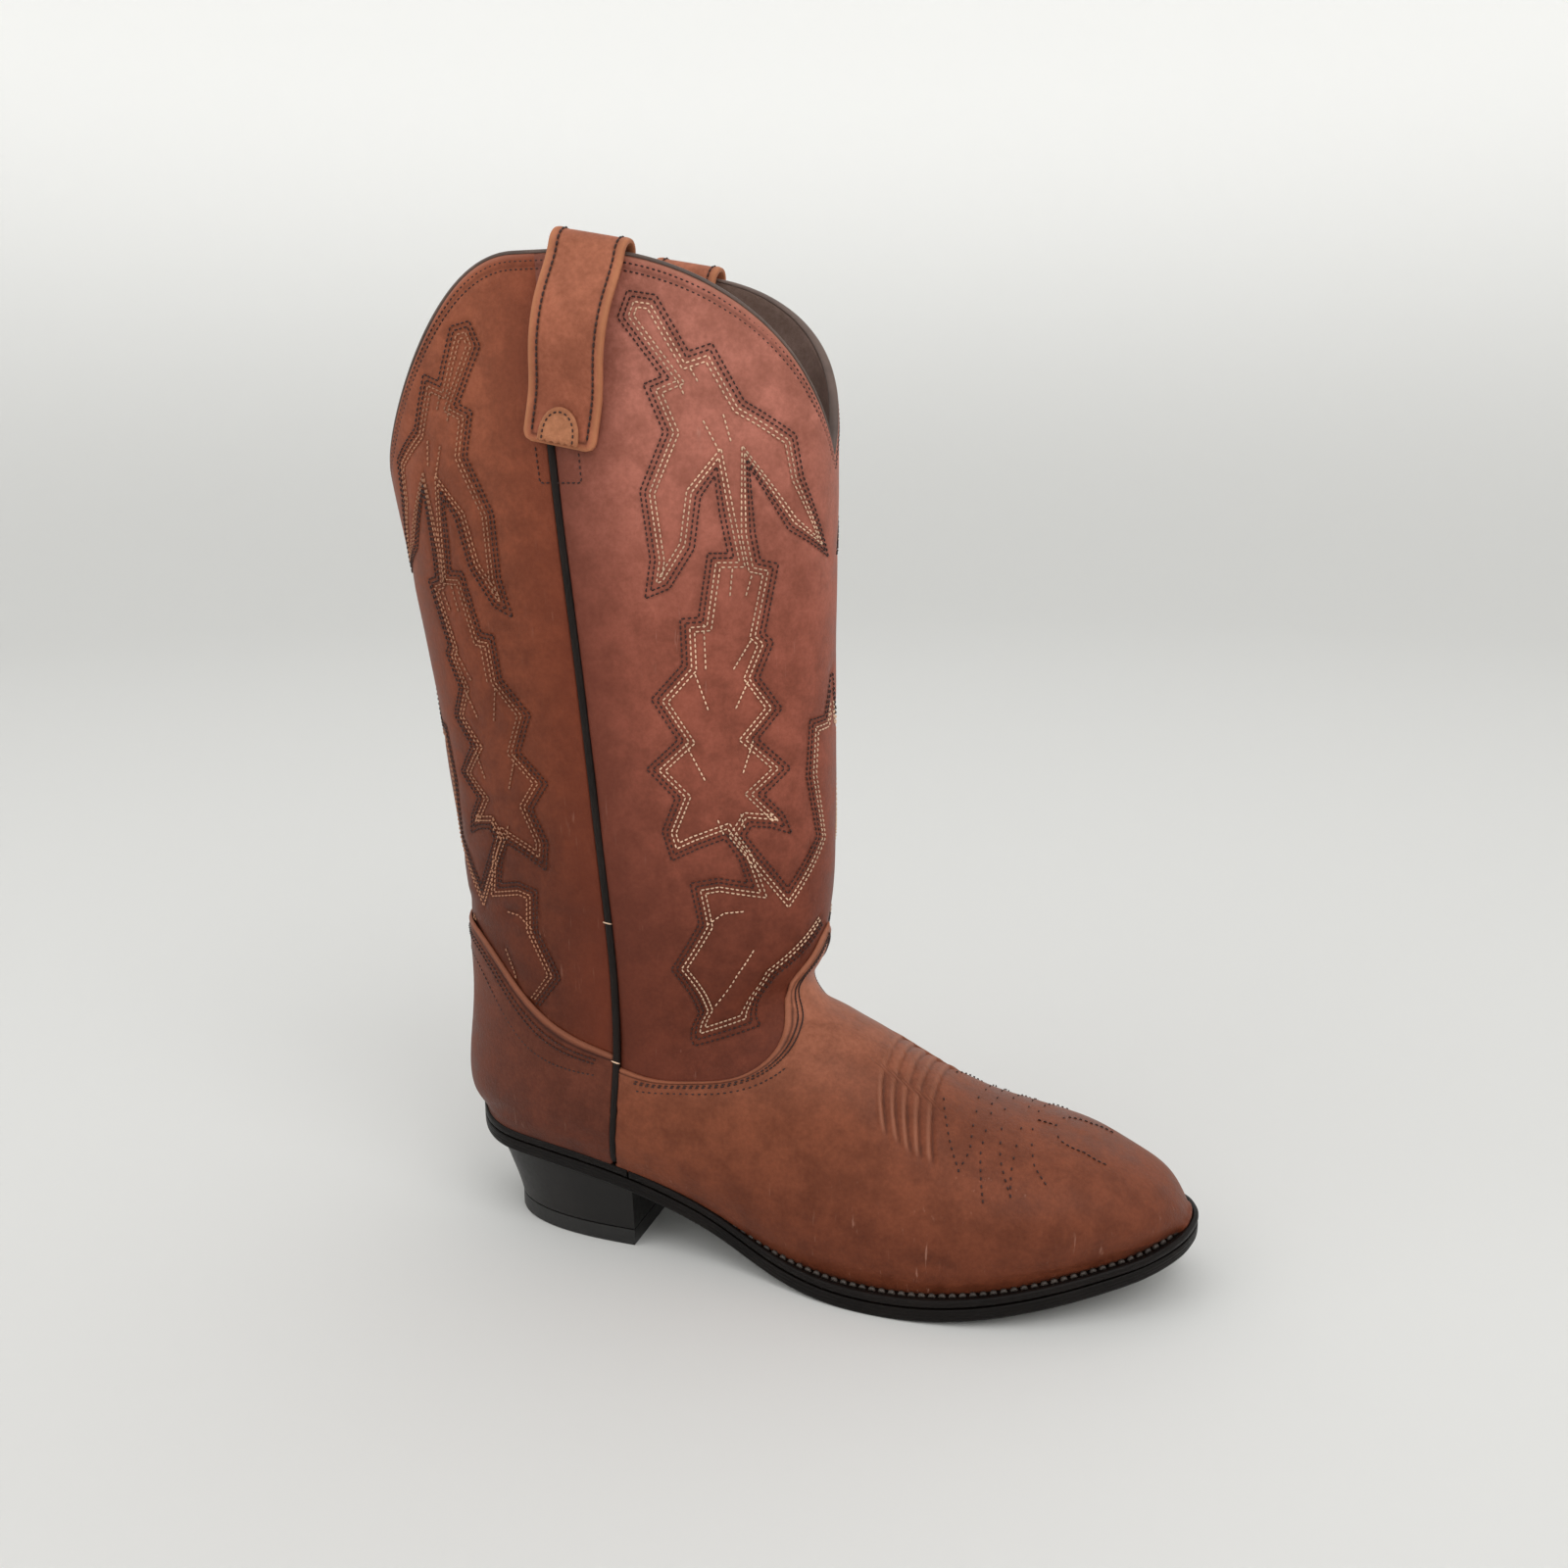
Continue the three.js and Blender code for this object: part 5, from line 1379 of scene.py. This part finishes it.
class BOOT_OT_foot(bpy.types.Operator):
    """Vamp and counter cover. The vamp's columns run from its top edge or the seam to the toe, where they meet in a
    pole ahead of the last section; the lift adds the folded edge's bead and the walking creases."""

    bl_idname = "boot.foot"
    bl_label = "Build vamp and counter"

    def execute(self, context):
        leather = in_mm(context.scene.boot_leather)
        self.vamp(leather)
        self.counter(leather)
        return {"FINISHED"}

    def vamp(self, leather):
        """Columns of equal turn; their sections run evenly from the top edge or the seam to the last section."""
        low = np.linspace(-1, CORNER_TURN, int(52 / leather.foot_grid))
        high = np.linspace(CORNER_TURN, 1, int(62 / leather.foot_grid))
        turn = np.concatenate([low, high[1:]])
        start = np.interp(turn, VAMP_TOP[:, 1], VAMP_TOP[:, 0])
        lower = SEAM_T > VAMP_TOP[0, 0] - 6
        falling = np.minimum.accumulate(seam_start(SEAM_T[lower], 1))
        seam = np.interp(turn, falling[::-1], SEAM_T[lower][::-1])
        start = np.where(turn < CORNER_TURN, seam, start)
        around = np.concatenate([turn, 2 - turn[-2::-1]])
        start = np.concatenate([start, start[-2::-1]])
        share = np.linspace(0, 1, int(250 / leather.foot_grid))[:, None]
        t = start + (TOE - start) * share
        around = np.broadcast_to(around, t.shape)
        flat_turn = fold(around)[0]
        flat = flat_of(t, flat_turn)
        edge = distance_to(VAMP_FLAT, flat.reshape(-1, 2)).reshape(t.shape)
        wrinkles, crease_shade, folds = wrinkle_lift(t, flat_turn, leather.wrinkle)
        fade = np.clip((flat_turn + 1) * 8, 0, 1)
        lift = edge_roll(edge, leather) + wrinkles + 0.2 * ripple(t, around, 47, 0.7) * np.clip(edge / 8, 0, 1)
        outer = skin(t, around, FOOT_OUT + lift * fade)
        inner = skin(t, around, np.full(t.shape, FOOT_IN))
        outer, inner = (self.closed_toe(grid, reach) for grid, reach in ((outer, FOOT_OUT), (inner, FOOT_IN)))
        fields = {}
        for key, data in (("edge", edge), ("crease_shade", crease_shade), ("fold", folds)):
            fields[key] = np.concatenate([data, np.repeat(data[-1:], len(outer) - len(data), 0)])
        points, faces, values = shell(outer, inner, fields)
        add_object("vamp_leather", points, faces, MATERIALS["vamp"], ["vamp"], values)

    def closed_toe(self, grid, reach):
        """Rows that round off from the last ring to a hair's breadth round the pole."""
        last = grid[-1]
        middle = last.mean(0)
        angles = np.linspace(0, np.pi / 2 - 0.03, 7)[1:, None, None]
        rows = middle + (last - middle) * np.cos(angles)
        rows[..., 0] += TOE_POLE * np.sin(angles[..., 0])
        return np.concatenate([grid, rows])

    def counter(self, leather):
        """Columns from seam to seam round the back; their sections run evenly from the top edge to the sole."""
        c = np.linspace(-1, 1, int(228 / leather.foot_grid) | 1)
        top_t = root(
            lambda t: t - np.interp(fold(panel_around(c, t, False))[0], COUNTER_TOP[:, 1], COUNTER_TOP[:, 0]),
            np.full_like(c, KNOTS[3]),
            np.full_like(c, KNOTS[8]),
        )
        share = np.linspace(0, 1, int(120 / leather.foot_grid))[:, None]
        t = top_t + (COUNTER_BOTTOM - top_t) * share
        around = panel_around(c[None, :], t, False)
        flat_turn = fold(around)[0]
        edge = distance_to(COUNTER_FLAT, flat_of(t, flat_turn).reshape(-1, 2)).reshape(t.shape)
        lift = edge_roll(edge, leather) + 0.2 * ripple(t, around, 43, 2.2) * np.clip(edge / 8, 0, 1)
        outer = skin(t, around, FOOT_OUT + lift)
        inner = skin(t, around, np.full(t.shape, FOOT_IN))
        points, faces, values = shell(outer, inner, {"edge": edge, "crease_shade": np.zeros(t.shape)})
        add_object(
            "counter_leather", points, faces, MATERIALS["counter"], ["counter_cover"], values
        )


class BOOT_OT_linings(bpy.types.Operator):
    """Linings of the shaft, as smooth shells just inside the panels, and the binding: a domed section swept round
    the whole top line, its up direction square to the line."""

    bl_idname = "boot.linings"
    bl_label = "Build linings and binding"

    def execute(self, context):
        for front, name in ((True, "front_shaft_lining"), (False, "back_shaft_lining")):
            c = np.linspace(-1, 1, 91)
            t, around = panel_grid(c, front, vamp_low if front else lambda turn: 0 * turn + COUNTER_BOTTOM, 150)
            wave = 0.15 * ripple(t, around, 70, 0.4)
            outer = skin(t, around, np.full(t.shape, LINING_OUT))
            inner = skin(t, around, LINING_IN + wave)
            points, faces, values = shell(outer, inner, {"stitch": np.full(t.shape, 25.0)})
            add_object(name + "_leather", points, faces, MATERIALS["lining"], [name], values)
        self.binding()
        return {"FINISHED"}

    def binding(self):
        """A flat strip with a half-round top, carried round the rim at the height of the top line."""
        around = np.linspace(-1, 3, 720, endpoint=False)
        t = root(lambda t: top_gap(t, around), np.zeros_like(around), np.full_like(around, KNOTS[3]))
        centres = skin(t, around, np.full(t.shape, -1.75))
        outs = last_normal(t, around)
        run = unit(np.roll(centres, -1, 0) - np.roll(centres, 1, 0))
        ups = unit(np.cross(outs, run))
        ups *= np.sign(ups[:, 2:])
        angle = np.linspace(0, np.pi, 9)
        top = np.stack([1.7 * np.cos(angle), 0.9 + 0.8 * np.sin(angle)], -1)
        profile = np.concatenate([top, [[-1.7, 0.35], [1.7, 0.35]]])
        points, faces = sweep(centres, outs, ups, profile, True)
        add_object("top_binding_edge", points, faces, MATERIALS["binding"], ["top_binding"])


class BOOT_OT_piping(bpy.types.Operator):
    """Piping of both side seams: a circle swept along the seam, sunk between the panels and higher over the foot."""

    bl_idname = "boot.piping"
    bl_label = "Build piping"

    def execute(self, context):
        bottom = feather_height(seam_x(38.0)) + 0.8 + PIPING_RADIUS
        z = np.linspace(bottom, 318.0, 300)
        t, turn = locate(seam_x(z), z)
        lift = PIPING_SUNK + 1.3 * (1 - smooth_step(z, 80, 125))
        angle = np.linspace(0, 2 * np.pi, 20, endpoint=False)
        ends = np.sqrt(np.clip(1 - (1 - np.minimum(np.arange(300), np.arange(300)[::-1]) / 3) ** 2, 0.02, 1))
        ends[3:-3] = 1
        for label, side in (("lateral", -1), ("medial", 1)):
            around = turn if side < 0 else 2 - turn
            centres = skin(t, around, lift)
            outs = last_normal(t, around)
            run = unit(np.gradient(centres, axis=0))
            ups = unit(np.cross(outs, run))
            circle = np.stack([np.cos(angle), np.sin(angle)], -1) * CORD_RADIUS
            points, faces = sweep(centres, outs, ups, circle[None] * ends[:, None, None], False)
            name = label + "_side_piping"
            add_object(name + "_cord", points, faces, MATERIALS["black"], [name])
            at = np.searchsorted(z, [80.0, 136.0])
            across = unit(np.cross(outs[at], run[at]) + 0.2 * run[at])
            tack = [centres[at] + outs[at] * (CORD_RADIUS - 0.1), across, outs[at]]
            add_stitches(label + "_piping_tacks", [tack], 3.6, 0.3, MATERIALS["pale_thread"])
        return {"FINISHED"}


class BOOT_OT_straps(bpy.types.Operator):
    """Pull straps and their tabs: a band with rolled edges swept up the outside, over the rim and down the inside,
    and a half-round tab with a bevelled edge over each foot."""

    bl_idname = "boot.straps"
    bl_label = "Build pull straps"

    def execute(self, context):
        for label, side in (("lateral", -1), ("medial", 1)):
            self.strap(label, side)
            self.tab(label, side)
        return {"FINISHED"}

    def strap(self, label, side):
        """The flat superellipse carried along the strap's path, its corners rounded in plan by quarter circles."""
        foot, up, out, across, rise, rim = strap_axes(side)
        path, length = strap_path(rise, rim)
        run = unit(np.gradient(path, axis=0))
        along = np.linspace(0, length, len(path))
        near = np.minimum(along, length - along)
        corner = np.clip(1 - near / 4.0, 0, 1)
        half = STRAP_HALF - 3.2 * (1 - np.sqrt(1 - corner**2))
        centres = foot + path[:, :1] * up + path[:, 1:] * out
        outs = -run[:, 1:] * up + run[:, :1] * out
        profile, edge = strap_profile(half, 64)
        points, faces = sweep(centres, outs, np.tile(across, (len(path), 1)), profile, False)
        ends = np.minimum(np.tile(edge, len(path)), np.repeat(near + 0.8, 64))
        name = label + "_pull_strap"
        add_object(name + "_band", points, faces, MATERIALS["strap"], [name], {"edge": ends})
        rows = []
        for offset in (-STRAP_HALF + 3.3, STRAP_HALF - 3.3):
            keep = (along > 3.5) & (along < length - 3)
            line = centres[keep] + across * offset + outs[keep] * (STRAP_THICK / 2 - 0.45)
            line_run = run_length(line)
            at = np.arange(0.5, line_run[-1], 2.2)
            place = point_at(line, line_run, at)
            normal = unit(point_at(outs[keep], line_run, at))
            rows.append([place, unit(np.gradient(place, axis=0)), normal])
        add_stitches(label + "_strap_stitches", rows, 1.8, 0.36, MATERIALS["dark_thread"])

    def tab(self, label, side):
        """Rings of a half-round outline, each drawn in by its own amount at its own height."""
        foot, up, out, across, _rise, _rim = strap_axes(side)
        angle = np.linspace(0, np.pi, 61)
        arch = np.stack([7.5 * np.cos(angle), 12 * np.sin(angle) ** 0.8], -1)
        foot_line = np.linspace(-7.5, 7.5, 31)[1:-1]
        wavy = np.stack([foot_line, 0.35 * np.sin(foot_line * 2.4)], -1)
        outline = np.concatenate([arch, wavy])
        rest = STRAP_FOOT_OUT + STRAP_THICK / 2 + 0.3
        middle = np.array([0, 5.0])
        rings, edges = [], []
        for height, shrink in ((0, 0.0), (0.6, 0.0), (0.95, 0.25), (1.15, 0.7), (1.05, 1.4), (0.95, 2.0), (1.1, 2.8)):
            away = unit(outline - middle)
            ring = outline - away * shrink
            rings.append(foot + ring[:, :1] * across * -side + ring[:, 1:] * up + (rest + height) * out)
            edges.append(np.full(len(outline), shrink))
        points, faces = lofted(rings)
        edge = np.concatenate([np.full(4 * len(outline), 4.0), *edges, np.full(4 * len(outline), 4.0)])
        name = label + "_strap_tab"
        values = {"edge": edge}
        add_object(name + "_patch", points, faces, MATERIALS["tab"], [name], values, sharp=50)
        line = (arch - middle) * 0.76 + middle
        place = foot + line[:, :1] * across * -side + line[:, 1:] * up + (rest + 0.95) * out
        place = even(place, 1.9)
        normals = np.tile(out, (len(place), 1))
        run = [place, unit(np.gradient(place, axis=0)), normals]
        add_stitches(label + "_tab_stitches", [run], 1.4, 0.3, MATERIALS["dark_thread"])


RIM_ROWS = (2.0, 4.6)  # below the top line
FOOT_ROWS = (3.7, 5.4, 10.6)  # below the folded edges; the last stops short of the ridge
SEAM_MARGIN = 0.06  # of a turn, left free beside the piping


class BOOT_OT_stitching(bpy.types.Operator):
    """Every stitch is a bent capsule whose ends dip into the leather. Rows follow the leaf outline and its offsets,
    the rim, the folded edges of vamp and counter, and the lines on the toe."""

    bl_idname = "boot.stitching"
    bl_label = "Build stitching"

    def execute(self, context):
        settings = in_mm(context.scene.boot_stitches)
        for back, place in ((False, "front"), (True, "back")):
            dark, pale = pattern_rows(settings, back)
            for run, tone in ((dark, "dark"), (pale, "pale")):
                # The back's pale rows take the cream thread painted darker, as painted shade.
                thread = "tan" if back and tone == "pale" else tone
                add_stitches(
                    place + "_" + tone + "_stitches", [run, mirror(run)], settings.length, settings.radius,
                    MATERIALS[thread + "_thread"],
                )
        self.rim(settings)
        self.foot(settings)
        return {"FINISHED"}

    def rim(self, settings):
        """Two rows at even drops below the top line, and a three-sided box of stitches under each strap's foot."""
        runs = []
        around = np.linspace(-1, 3, 2400)
        t = root(lambda t: top_gap(t, around), np.zeros_like(around), np.full_like(around, KNOTS[3]))
        for drop in RIM_ROWS:
            line = skin(t + drop, around, np.zeros_like(t) - 0.3)
            run = run_length(line)
            at = np.linspace(0, run[-1], int(run[-1] / settings.pitch))[:-1]
            runs.append(run_on_surface(np.interp(at, run, t + drop), np.interp(at, run, around), -0.1))
        box = resample([(60.4, 308.6), (61.6, 296.2), (77.2, 296.2), (76.5, 308.6)], settings.pitch)[0]
        t, turn = locate(box[:, 0], box[:, 1])
        runs += [run_on_surface(t, turn, 0.2), run_on_surface(t, 2 - turn, 0.2)]
        add_stitches("rim_stitches", runs, settings.length, settings.radius, MATERIALS["dark_thread"])

    def foot(self, settings):
        """Rows beside the folded edges, found on the leather laid out flat, and single rows along the toe lines."""
        runs = []
        for line in (VAMP_FLAT, COUNTER_FLAT):
            for gap in FOOT_ROWS:
                moved = even(beside(even(line, 2.0), -gap), settings.pitch)
                turn = SURFACE.turn_at(moved[:, 1], moved[:, 0])
                keep = np.abs(SURFACE.read(SURFACE.arc, moved[:, 1], turn) - moved[:, 0]) < 0.5
                seam = seam_turn(moved[:, 1])
                keep &= (turn > seam + SEAM_MARGIN) if line is VAMP_FLAT else (turn < seam - SEAM_MARGIN)
                if gap == FOOT_ROWS[-1]:
                    keep &= turn < 0.5
                for side in (-1, 1):
                    around = turn if side < 0 else 2 - turn
                    runs.append(run_on_surface(moved[keep, 1], around[keep], FOOT_OUT - 0.15))
        for line in TOE_LINES:
            row = even(np.asarray(line, float), settings.pitch)
            t, turn = locate(row[:, 0], row[:, 1])
            for side in (-1, 1):
                runs.append(run_on_surface(t, turn if side < 0 else 2 - turn, FOOT_OUT + 0.2))
        add_stitches("foot_stitches", runs, settings.length, settings.radius, MATERIALS["dark_thread"])


# Lines on the toe as side-view points.
TOE_LINES = [
    [(199.5, 68.5), (206.0, 58.5), (210.5, 52.5)],
    [(211.0, 65.5), (213.0, 57.0), (210.5, 52.5)],
    [(216.5, 64.0), (216.8, 56.0), (220.5, 45.0)],
    [(221.0, 61.5), (224.0, 54.5), (229.5, 46.5)],
    [(228.5, 58.5), (228.5, 52.0), (229.5, 46.5)],
    [(232.5, 57.8), (236.0, 52.6), (240.5, 49.0)],
    [(234.5, 59.0), (243.0, 55.4), (252.0, 52.6), (259.0, 49.5)],
]


class BOOT_OT_sole(bpy.types.Operator):
    """Welt, rand, outsole, heel and lift. The welt and rand are sections swept along the sole's outline; the outsole
    is rings of that outline moved in and out; the heel is a D-shaped loft that widens as height to the 1.25."""

    bl_idname = "boot.sole"
    bl_label = "Build welt, sole and heel"

    def execute(self, context):
        settings = in_mm(context.scene.boot_stitches)
        path, outs = rim_path(True)
        points, faces = rim_piece(path, outs, welt_shape)
        add_object("welt_strip", points, faces, MATERIALS["welt"], ["welt"], sharp=60)
        self.welt_stitches(path, outs, settings)
        path, outs = rim_path(False)
        points, faces = rim_piece(path, outs, rand_shape)
        add_object("heel_rand_strip", points, faces, MATERIALS["welt"], ["heel_rand"], sharp=60)
        self.outsole()
        self.heel()
        return {"FINISHED"}

    def welt_stitches(self, path, outs, settings):
        """Bars at an even pitch along the middle of the welt's channel."""
        x = path[:, 0] + outs[:, 0] * sole_edge(path[:, 0])
        width = sole_edge(x)
        middle = np.where(width > 5, (2.0 + width - 2.3) / 2, width * 0.45)
        flat = path + outs * middle[:, None]
        line = np.concatenate([flat, feather_height(flat[:, 0])[:, None] - 0.3], -1)
        run = run_length(line)
        at = np.arange(2.0, run[-1], settings.welt_pitch)
        place = point_at(line, run, at)
        heading = unit(np.gradient(place, axis=0))
        normals = unit(np.cross(np.cross(heading, [0, 0, 1.0]), heading))
        add_stitches(
            "welt_stitches", [[place, heading, normals]], 3.0, settings.welt_radius, MATERIALS["welt_thread"]
        )

    def outsole(self):
        """Rings of the sole's outline: shares of the way out from a spine on both faces, and the edge's section."""
        line = plan_line(640)
        outs = plan_outs(line)
        edge = sole_edge(line[:, 0])
        spine = np.stack([np.clip(line[:, 0], 45, 262), np.interp(line[:, 0], [80, 140, 230, 285], [0, 0, 3, 7])], -1)
        rings = []

        def ring(out, up):
            flat = line + outs * (edge + out)[:, None]
            return np.concatenate([flat, (feather_height(flat[:, 0]) + up)[:, None]], -1)

        def inner(share, up):
            flat = spine + (line + outs * (edge - 1.0)[:, None] - spine) * share
            return np.concatenate([flat, (feather_height(flat[:, 0]) + up)[:, None]], -1)

        rings += [inner(s, -3.2) for s in (0.02, 0.3, 0.6, 0.85, 1.0)]
        # out and up of the edge: two fine wheel lines between three layers, and a worn lower corner
        sides = [(-0.4, -3.25), (-0.1, -3.5), (0.0, -4.0), (-0.14, -4.25), (0.0, -4.5), (0.0, -5.2)]
        sides += [(-0.14, -5.45), (0.0, -5.7), (0.0, -6.4), (-0.14, -6.6), (-0.02, -6.8)]
        sides += [(-0.15, -7.6), (-0.5, -8.2), (-1.0, -8.45)]
        rings += [ring(out, up) for out, up in sides]
        rings += [inner(s, -8.5) for s in (0.97, 0.85, 0.6, 0.3, 0.02)]
        stack = np.stack(rings)
        count = stack.shape[1]
        faces = grid_faces(len(stack), count, wrap_columns=True)
        add_object(
            "outsole_leather", stack.reshape(-1, 3), [faces, end_faces(len(stack), count)], MATERIALS["sole"],
            ["outsole"],
        )

    def heel(self):
        """Rings of the heel from the lift to the sole, and the lift's rings with a small bevel at each end."""
        rings = [inset(heel_ring(0.0, 120), 0.5), inset(heel_ring(0.006, 120), 0.15)]
        rings += [heel_ring(share, 120) for share in np.linspace(0.02, 1.0, 26)]
        points, faces = lofted(rings)
        add_object("heel_block", points, faces, MATERIALS["heel"], ["heel_base"], sharp=50)
        plan = heel_plan(*HEEL_FOOT_SIZE, 120)
        rings = []
        for height, shrink in ((0, 0.8), (0.25, 0.2), (0.9, 0.0), (6.2, 0.0), (6.65, 0.12), (6.8, 0.5)):
            ring = np.concatenate([plan, np.full((len(plan), 1), FLOOR + height)], -1)
            rings.append(inset(ring, shrink))
        points, faces = lofted(rings)
        add_object("heel_lift_rubber", points, faces, MATERIALS["lift"], ["heel_lift"], sharp=50)


class BOOT_OT_hidden(bpy.types.Operator):
    """Finishes of the pieces that stay as packed: stiffeners, insole, cork, shank, nails and inner linings."""

    bl_idname = "boot.hidden"
    bl_label = "Finish inner pieces"

    def execute(self, context):
        finishes = {
            "heel_counter_stiffener": "board",
            "toe_box_stiffener": "board",
            "insole": "board",
            "cork_filler": "cork",
            "steel_shank": "steel",
            "sock_lining": "lining",
            "vamp_lining": "lining",
        }
        for name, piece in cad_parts.items():
            finish = finishes.get(name, "steel" if name.startswith(("heel_nail", "lift_brad")) else None)
            if finish:
                piece.data.materials.clear()
                piece.data.materials.append(MATERIALS[finish])
        return {"FINISHED"}


class BOOT_OT_stage(bpy.types.Operator):
    """Floor, backdrop, lamps and camera: a disc that turns up into a wall on all sides, lit from above and both sides
    by large soft lamps, with painted light in a backdrop glow that grows with height."""

    bl_idname = "boot.stage"
    bl_label = "Build stage"
    # name, place, point aimed at and width in metres, power in watts
    LAMPS = (
        ("Key", (1.3, -1.2, 2.2), (0, 0, 0.2), 1.8, 18),
        ("Fill", (-1.6, -1.3, 1.5), (0, 0, 0.15), 2.0, 7),
        ("Top", (0.0, 0.3, 2.6), (0, 0, 0), 2.8, 12),
    )

    def execute(self, context):
        stage = context.scene.boot_stage
        self.backdrop(stage)
        for name, place, target, width, power in self.LAMPS:
            self.lamp(name, place, target, width, power)
        self.camera(context.scene, stage)
        world = bpy.data.worlds.new("Studio")
        world.use_nodes = True
        world.node_tree.nodes["Background"].inputs["Color"].default_value = (1, 1, 1, 1)
        world.node_tree.nodes["Background"].inputs["Strength"].default_value = 0.41
        context.scene.world = world
        context.scene.view_settings.view_transform = "Standard"
        return {"FINISHED"}

    def backdrop(self, stage):
        """Profile turned about the vertical: flat, quarter circle, wall."""
        flat, bend = stage.floor_radius, 1.6
        angles = np.linspace(0, np.pi / 2, 17)
        radius = np.concatenate([np.linspace(0.02, flat, 12), flat + bend * np.sin(angles[1:])])
        height = np.concatenate([np.zeros(12), bend * (1 - np.cos(angles[1:]))])
        radius, height = np.append(radius, radius[-1]), np.append(height, 4.0)
        turn = np.linspace(0, 2 * np.pi, stage.sides, endpoint=False)
        radius, height = radius[:, None], np.repeat(height[:, None], stage.sides, 1)
        points = np.stack([radius * np.cos(turn), radius * np.sin(turn), height], -1).reshape(-1, 3)
        faces = grid_faces(len(radius), stage.sides, wrap_columns=True)[:, ::-1]
        mesh = bpy.data.meshes.new("Backdrop")
        mesh.from_pydata(points.tolist(), [], faces.tolist() + [list(range(stage.sides))])
        mesh.polygons.foreach_set("use_smooth", np.ones(len(mesh.polygons), bool))
        material, tree, shader = new_material("Pale backdrop", (0.8, 0.8, 0.78, 1))
        shader.inputs["Base Color"].default_value = (0.78, 0.78, 0.765, 1)
        shader.inputs["Roughness"].default_value = 0.9
        shader.inputs["Specular IOR Level"].default_value = 0.1
        place = node(tree, "ShaderNodeTexCoord").outputs["Object"]
        z = node(tree, "ShaderNodeSeparateXYZ", {"Vector": place}).outputs["Z"]
        # Painted light: the backdrop glows more with height, brightening the upper wall beyond what the lamps give.
        shader.inputs["Emission Color"].default_value = (1, 1, 0.985, 1)
        tree.links.new(map_range(tree, z, 0.0, 1.3, 0.0, 0.34), shader.inputs["Emission Strength"])
        mesh.materials.append(material)
        floor = bpy.data.objects.new("Backdrop", mesh)
        bpy.context.scene.collection.objects.link(floor)

    def lamp(self, name, place, target, width, power):
        """Round area lamp aimed at a point."""
        data = bpy.data.lights.new(name, "AREA")
        data.shape = "DISK"
        data.size = width
        data.energy = power
        lamp = bpy.data.objects.new(name, data)
        lamp.location = place
        lamp.rotation_euler = (Vector(target) - Vector(place)).to_track_quat("-Z", "Y").to_euler()
        bpy.context.scene.collection.objects.link(lamp)

    def camera(self, scene, stage):
        """Level camera turned by azimuth, elevation and roll, at its own place."""
        data = bpy.data.cameras.new("Camera")
        data.lens = stage.lens
        data.sensor_width = 36.0
        data.dof.use_dof = False
        camera = bpy.data.objects.new("Camera", data)
        turned = Euler((np.pi / 2 - stage.elevation, 0, stage.azimuth)).to_matrix()
        turned = turned @ Matrix.Rotation(stage.roll, 3, "Z")
        camera.matrix_world = Matrix.Translation(stage.place) @ turned.to_4x4()
        scene.collection.objects.link(camera)
        scene.camera = camera


class BOOT_PT_panel(bpy.types.Panel):
    """Settings and build buttons."""

    bl_idname = "BOOT_PT_panel"
    bl_label = "Western boot"
    bl_space_type = "VIEW_3D"
    bl_region_type = "UI"
    bl_category = "Boot"

    def draw(self, context):
        layout = self.layout
        for group in SETTINGS:
            layout.label(text=group.removeprefix("boot_").capitalize())
            settings = getattr(context.scene, group)
            for key in settings.__annotations__:
                layout.prop(settings, key)
        for operator in OPERATORS:
            layout.operator(operator.bl_idname)


SETTINGS = {
    "boot_leather": BootLeatherSettings,
    "boot_stitches": BootStitchSettings,
    "boot_colors": BootColorSettings,
    "boot_stage": BootStageSettings,
}
OPERATORS = [
    BOOT_OT_materials,
    BOOT_OT_shaft,
    BOOT_OT_foot,
    BOOT_OT_linings,
    BOOT_OT_piping,
    BOOT_OT_straps,
    BOOT_OT_stitching,
    BOOT_OT_sole,
    BOOT_OT_hidden,
    BOOT_OT_stage,
]


def register():
    for item in [*SETTINGS.values(), *OPERATORS, BOOT_PT_panel]:
        bpy.utils.register_class(item)
    for key, group in SETTINGS.items():
        setattr(bpy.types.Scene, key, PointerProperty(type=group))


def unregister():
    for key in SETTINGS:
        delattr(bpy.types.Scene, key)
    for item in [BOOT_PT_panel, *OPERATORS[::-1], *list(SETTINGS.values())[::-1]]:
        bpy.utils.unregister_class(item)


def main():
    """Run every operator in order."""
    register()
    for operator in OPERATORS:
        group, name = operator.bl_idname.split(".")
        getattr(getattr(bpy.ops, group), name)()


if __name__ == "__main__":
    main()
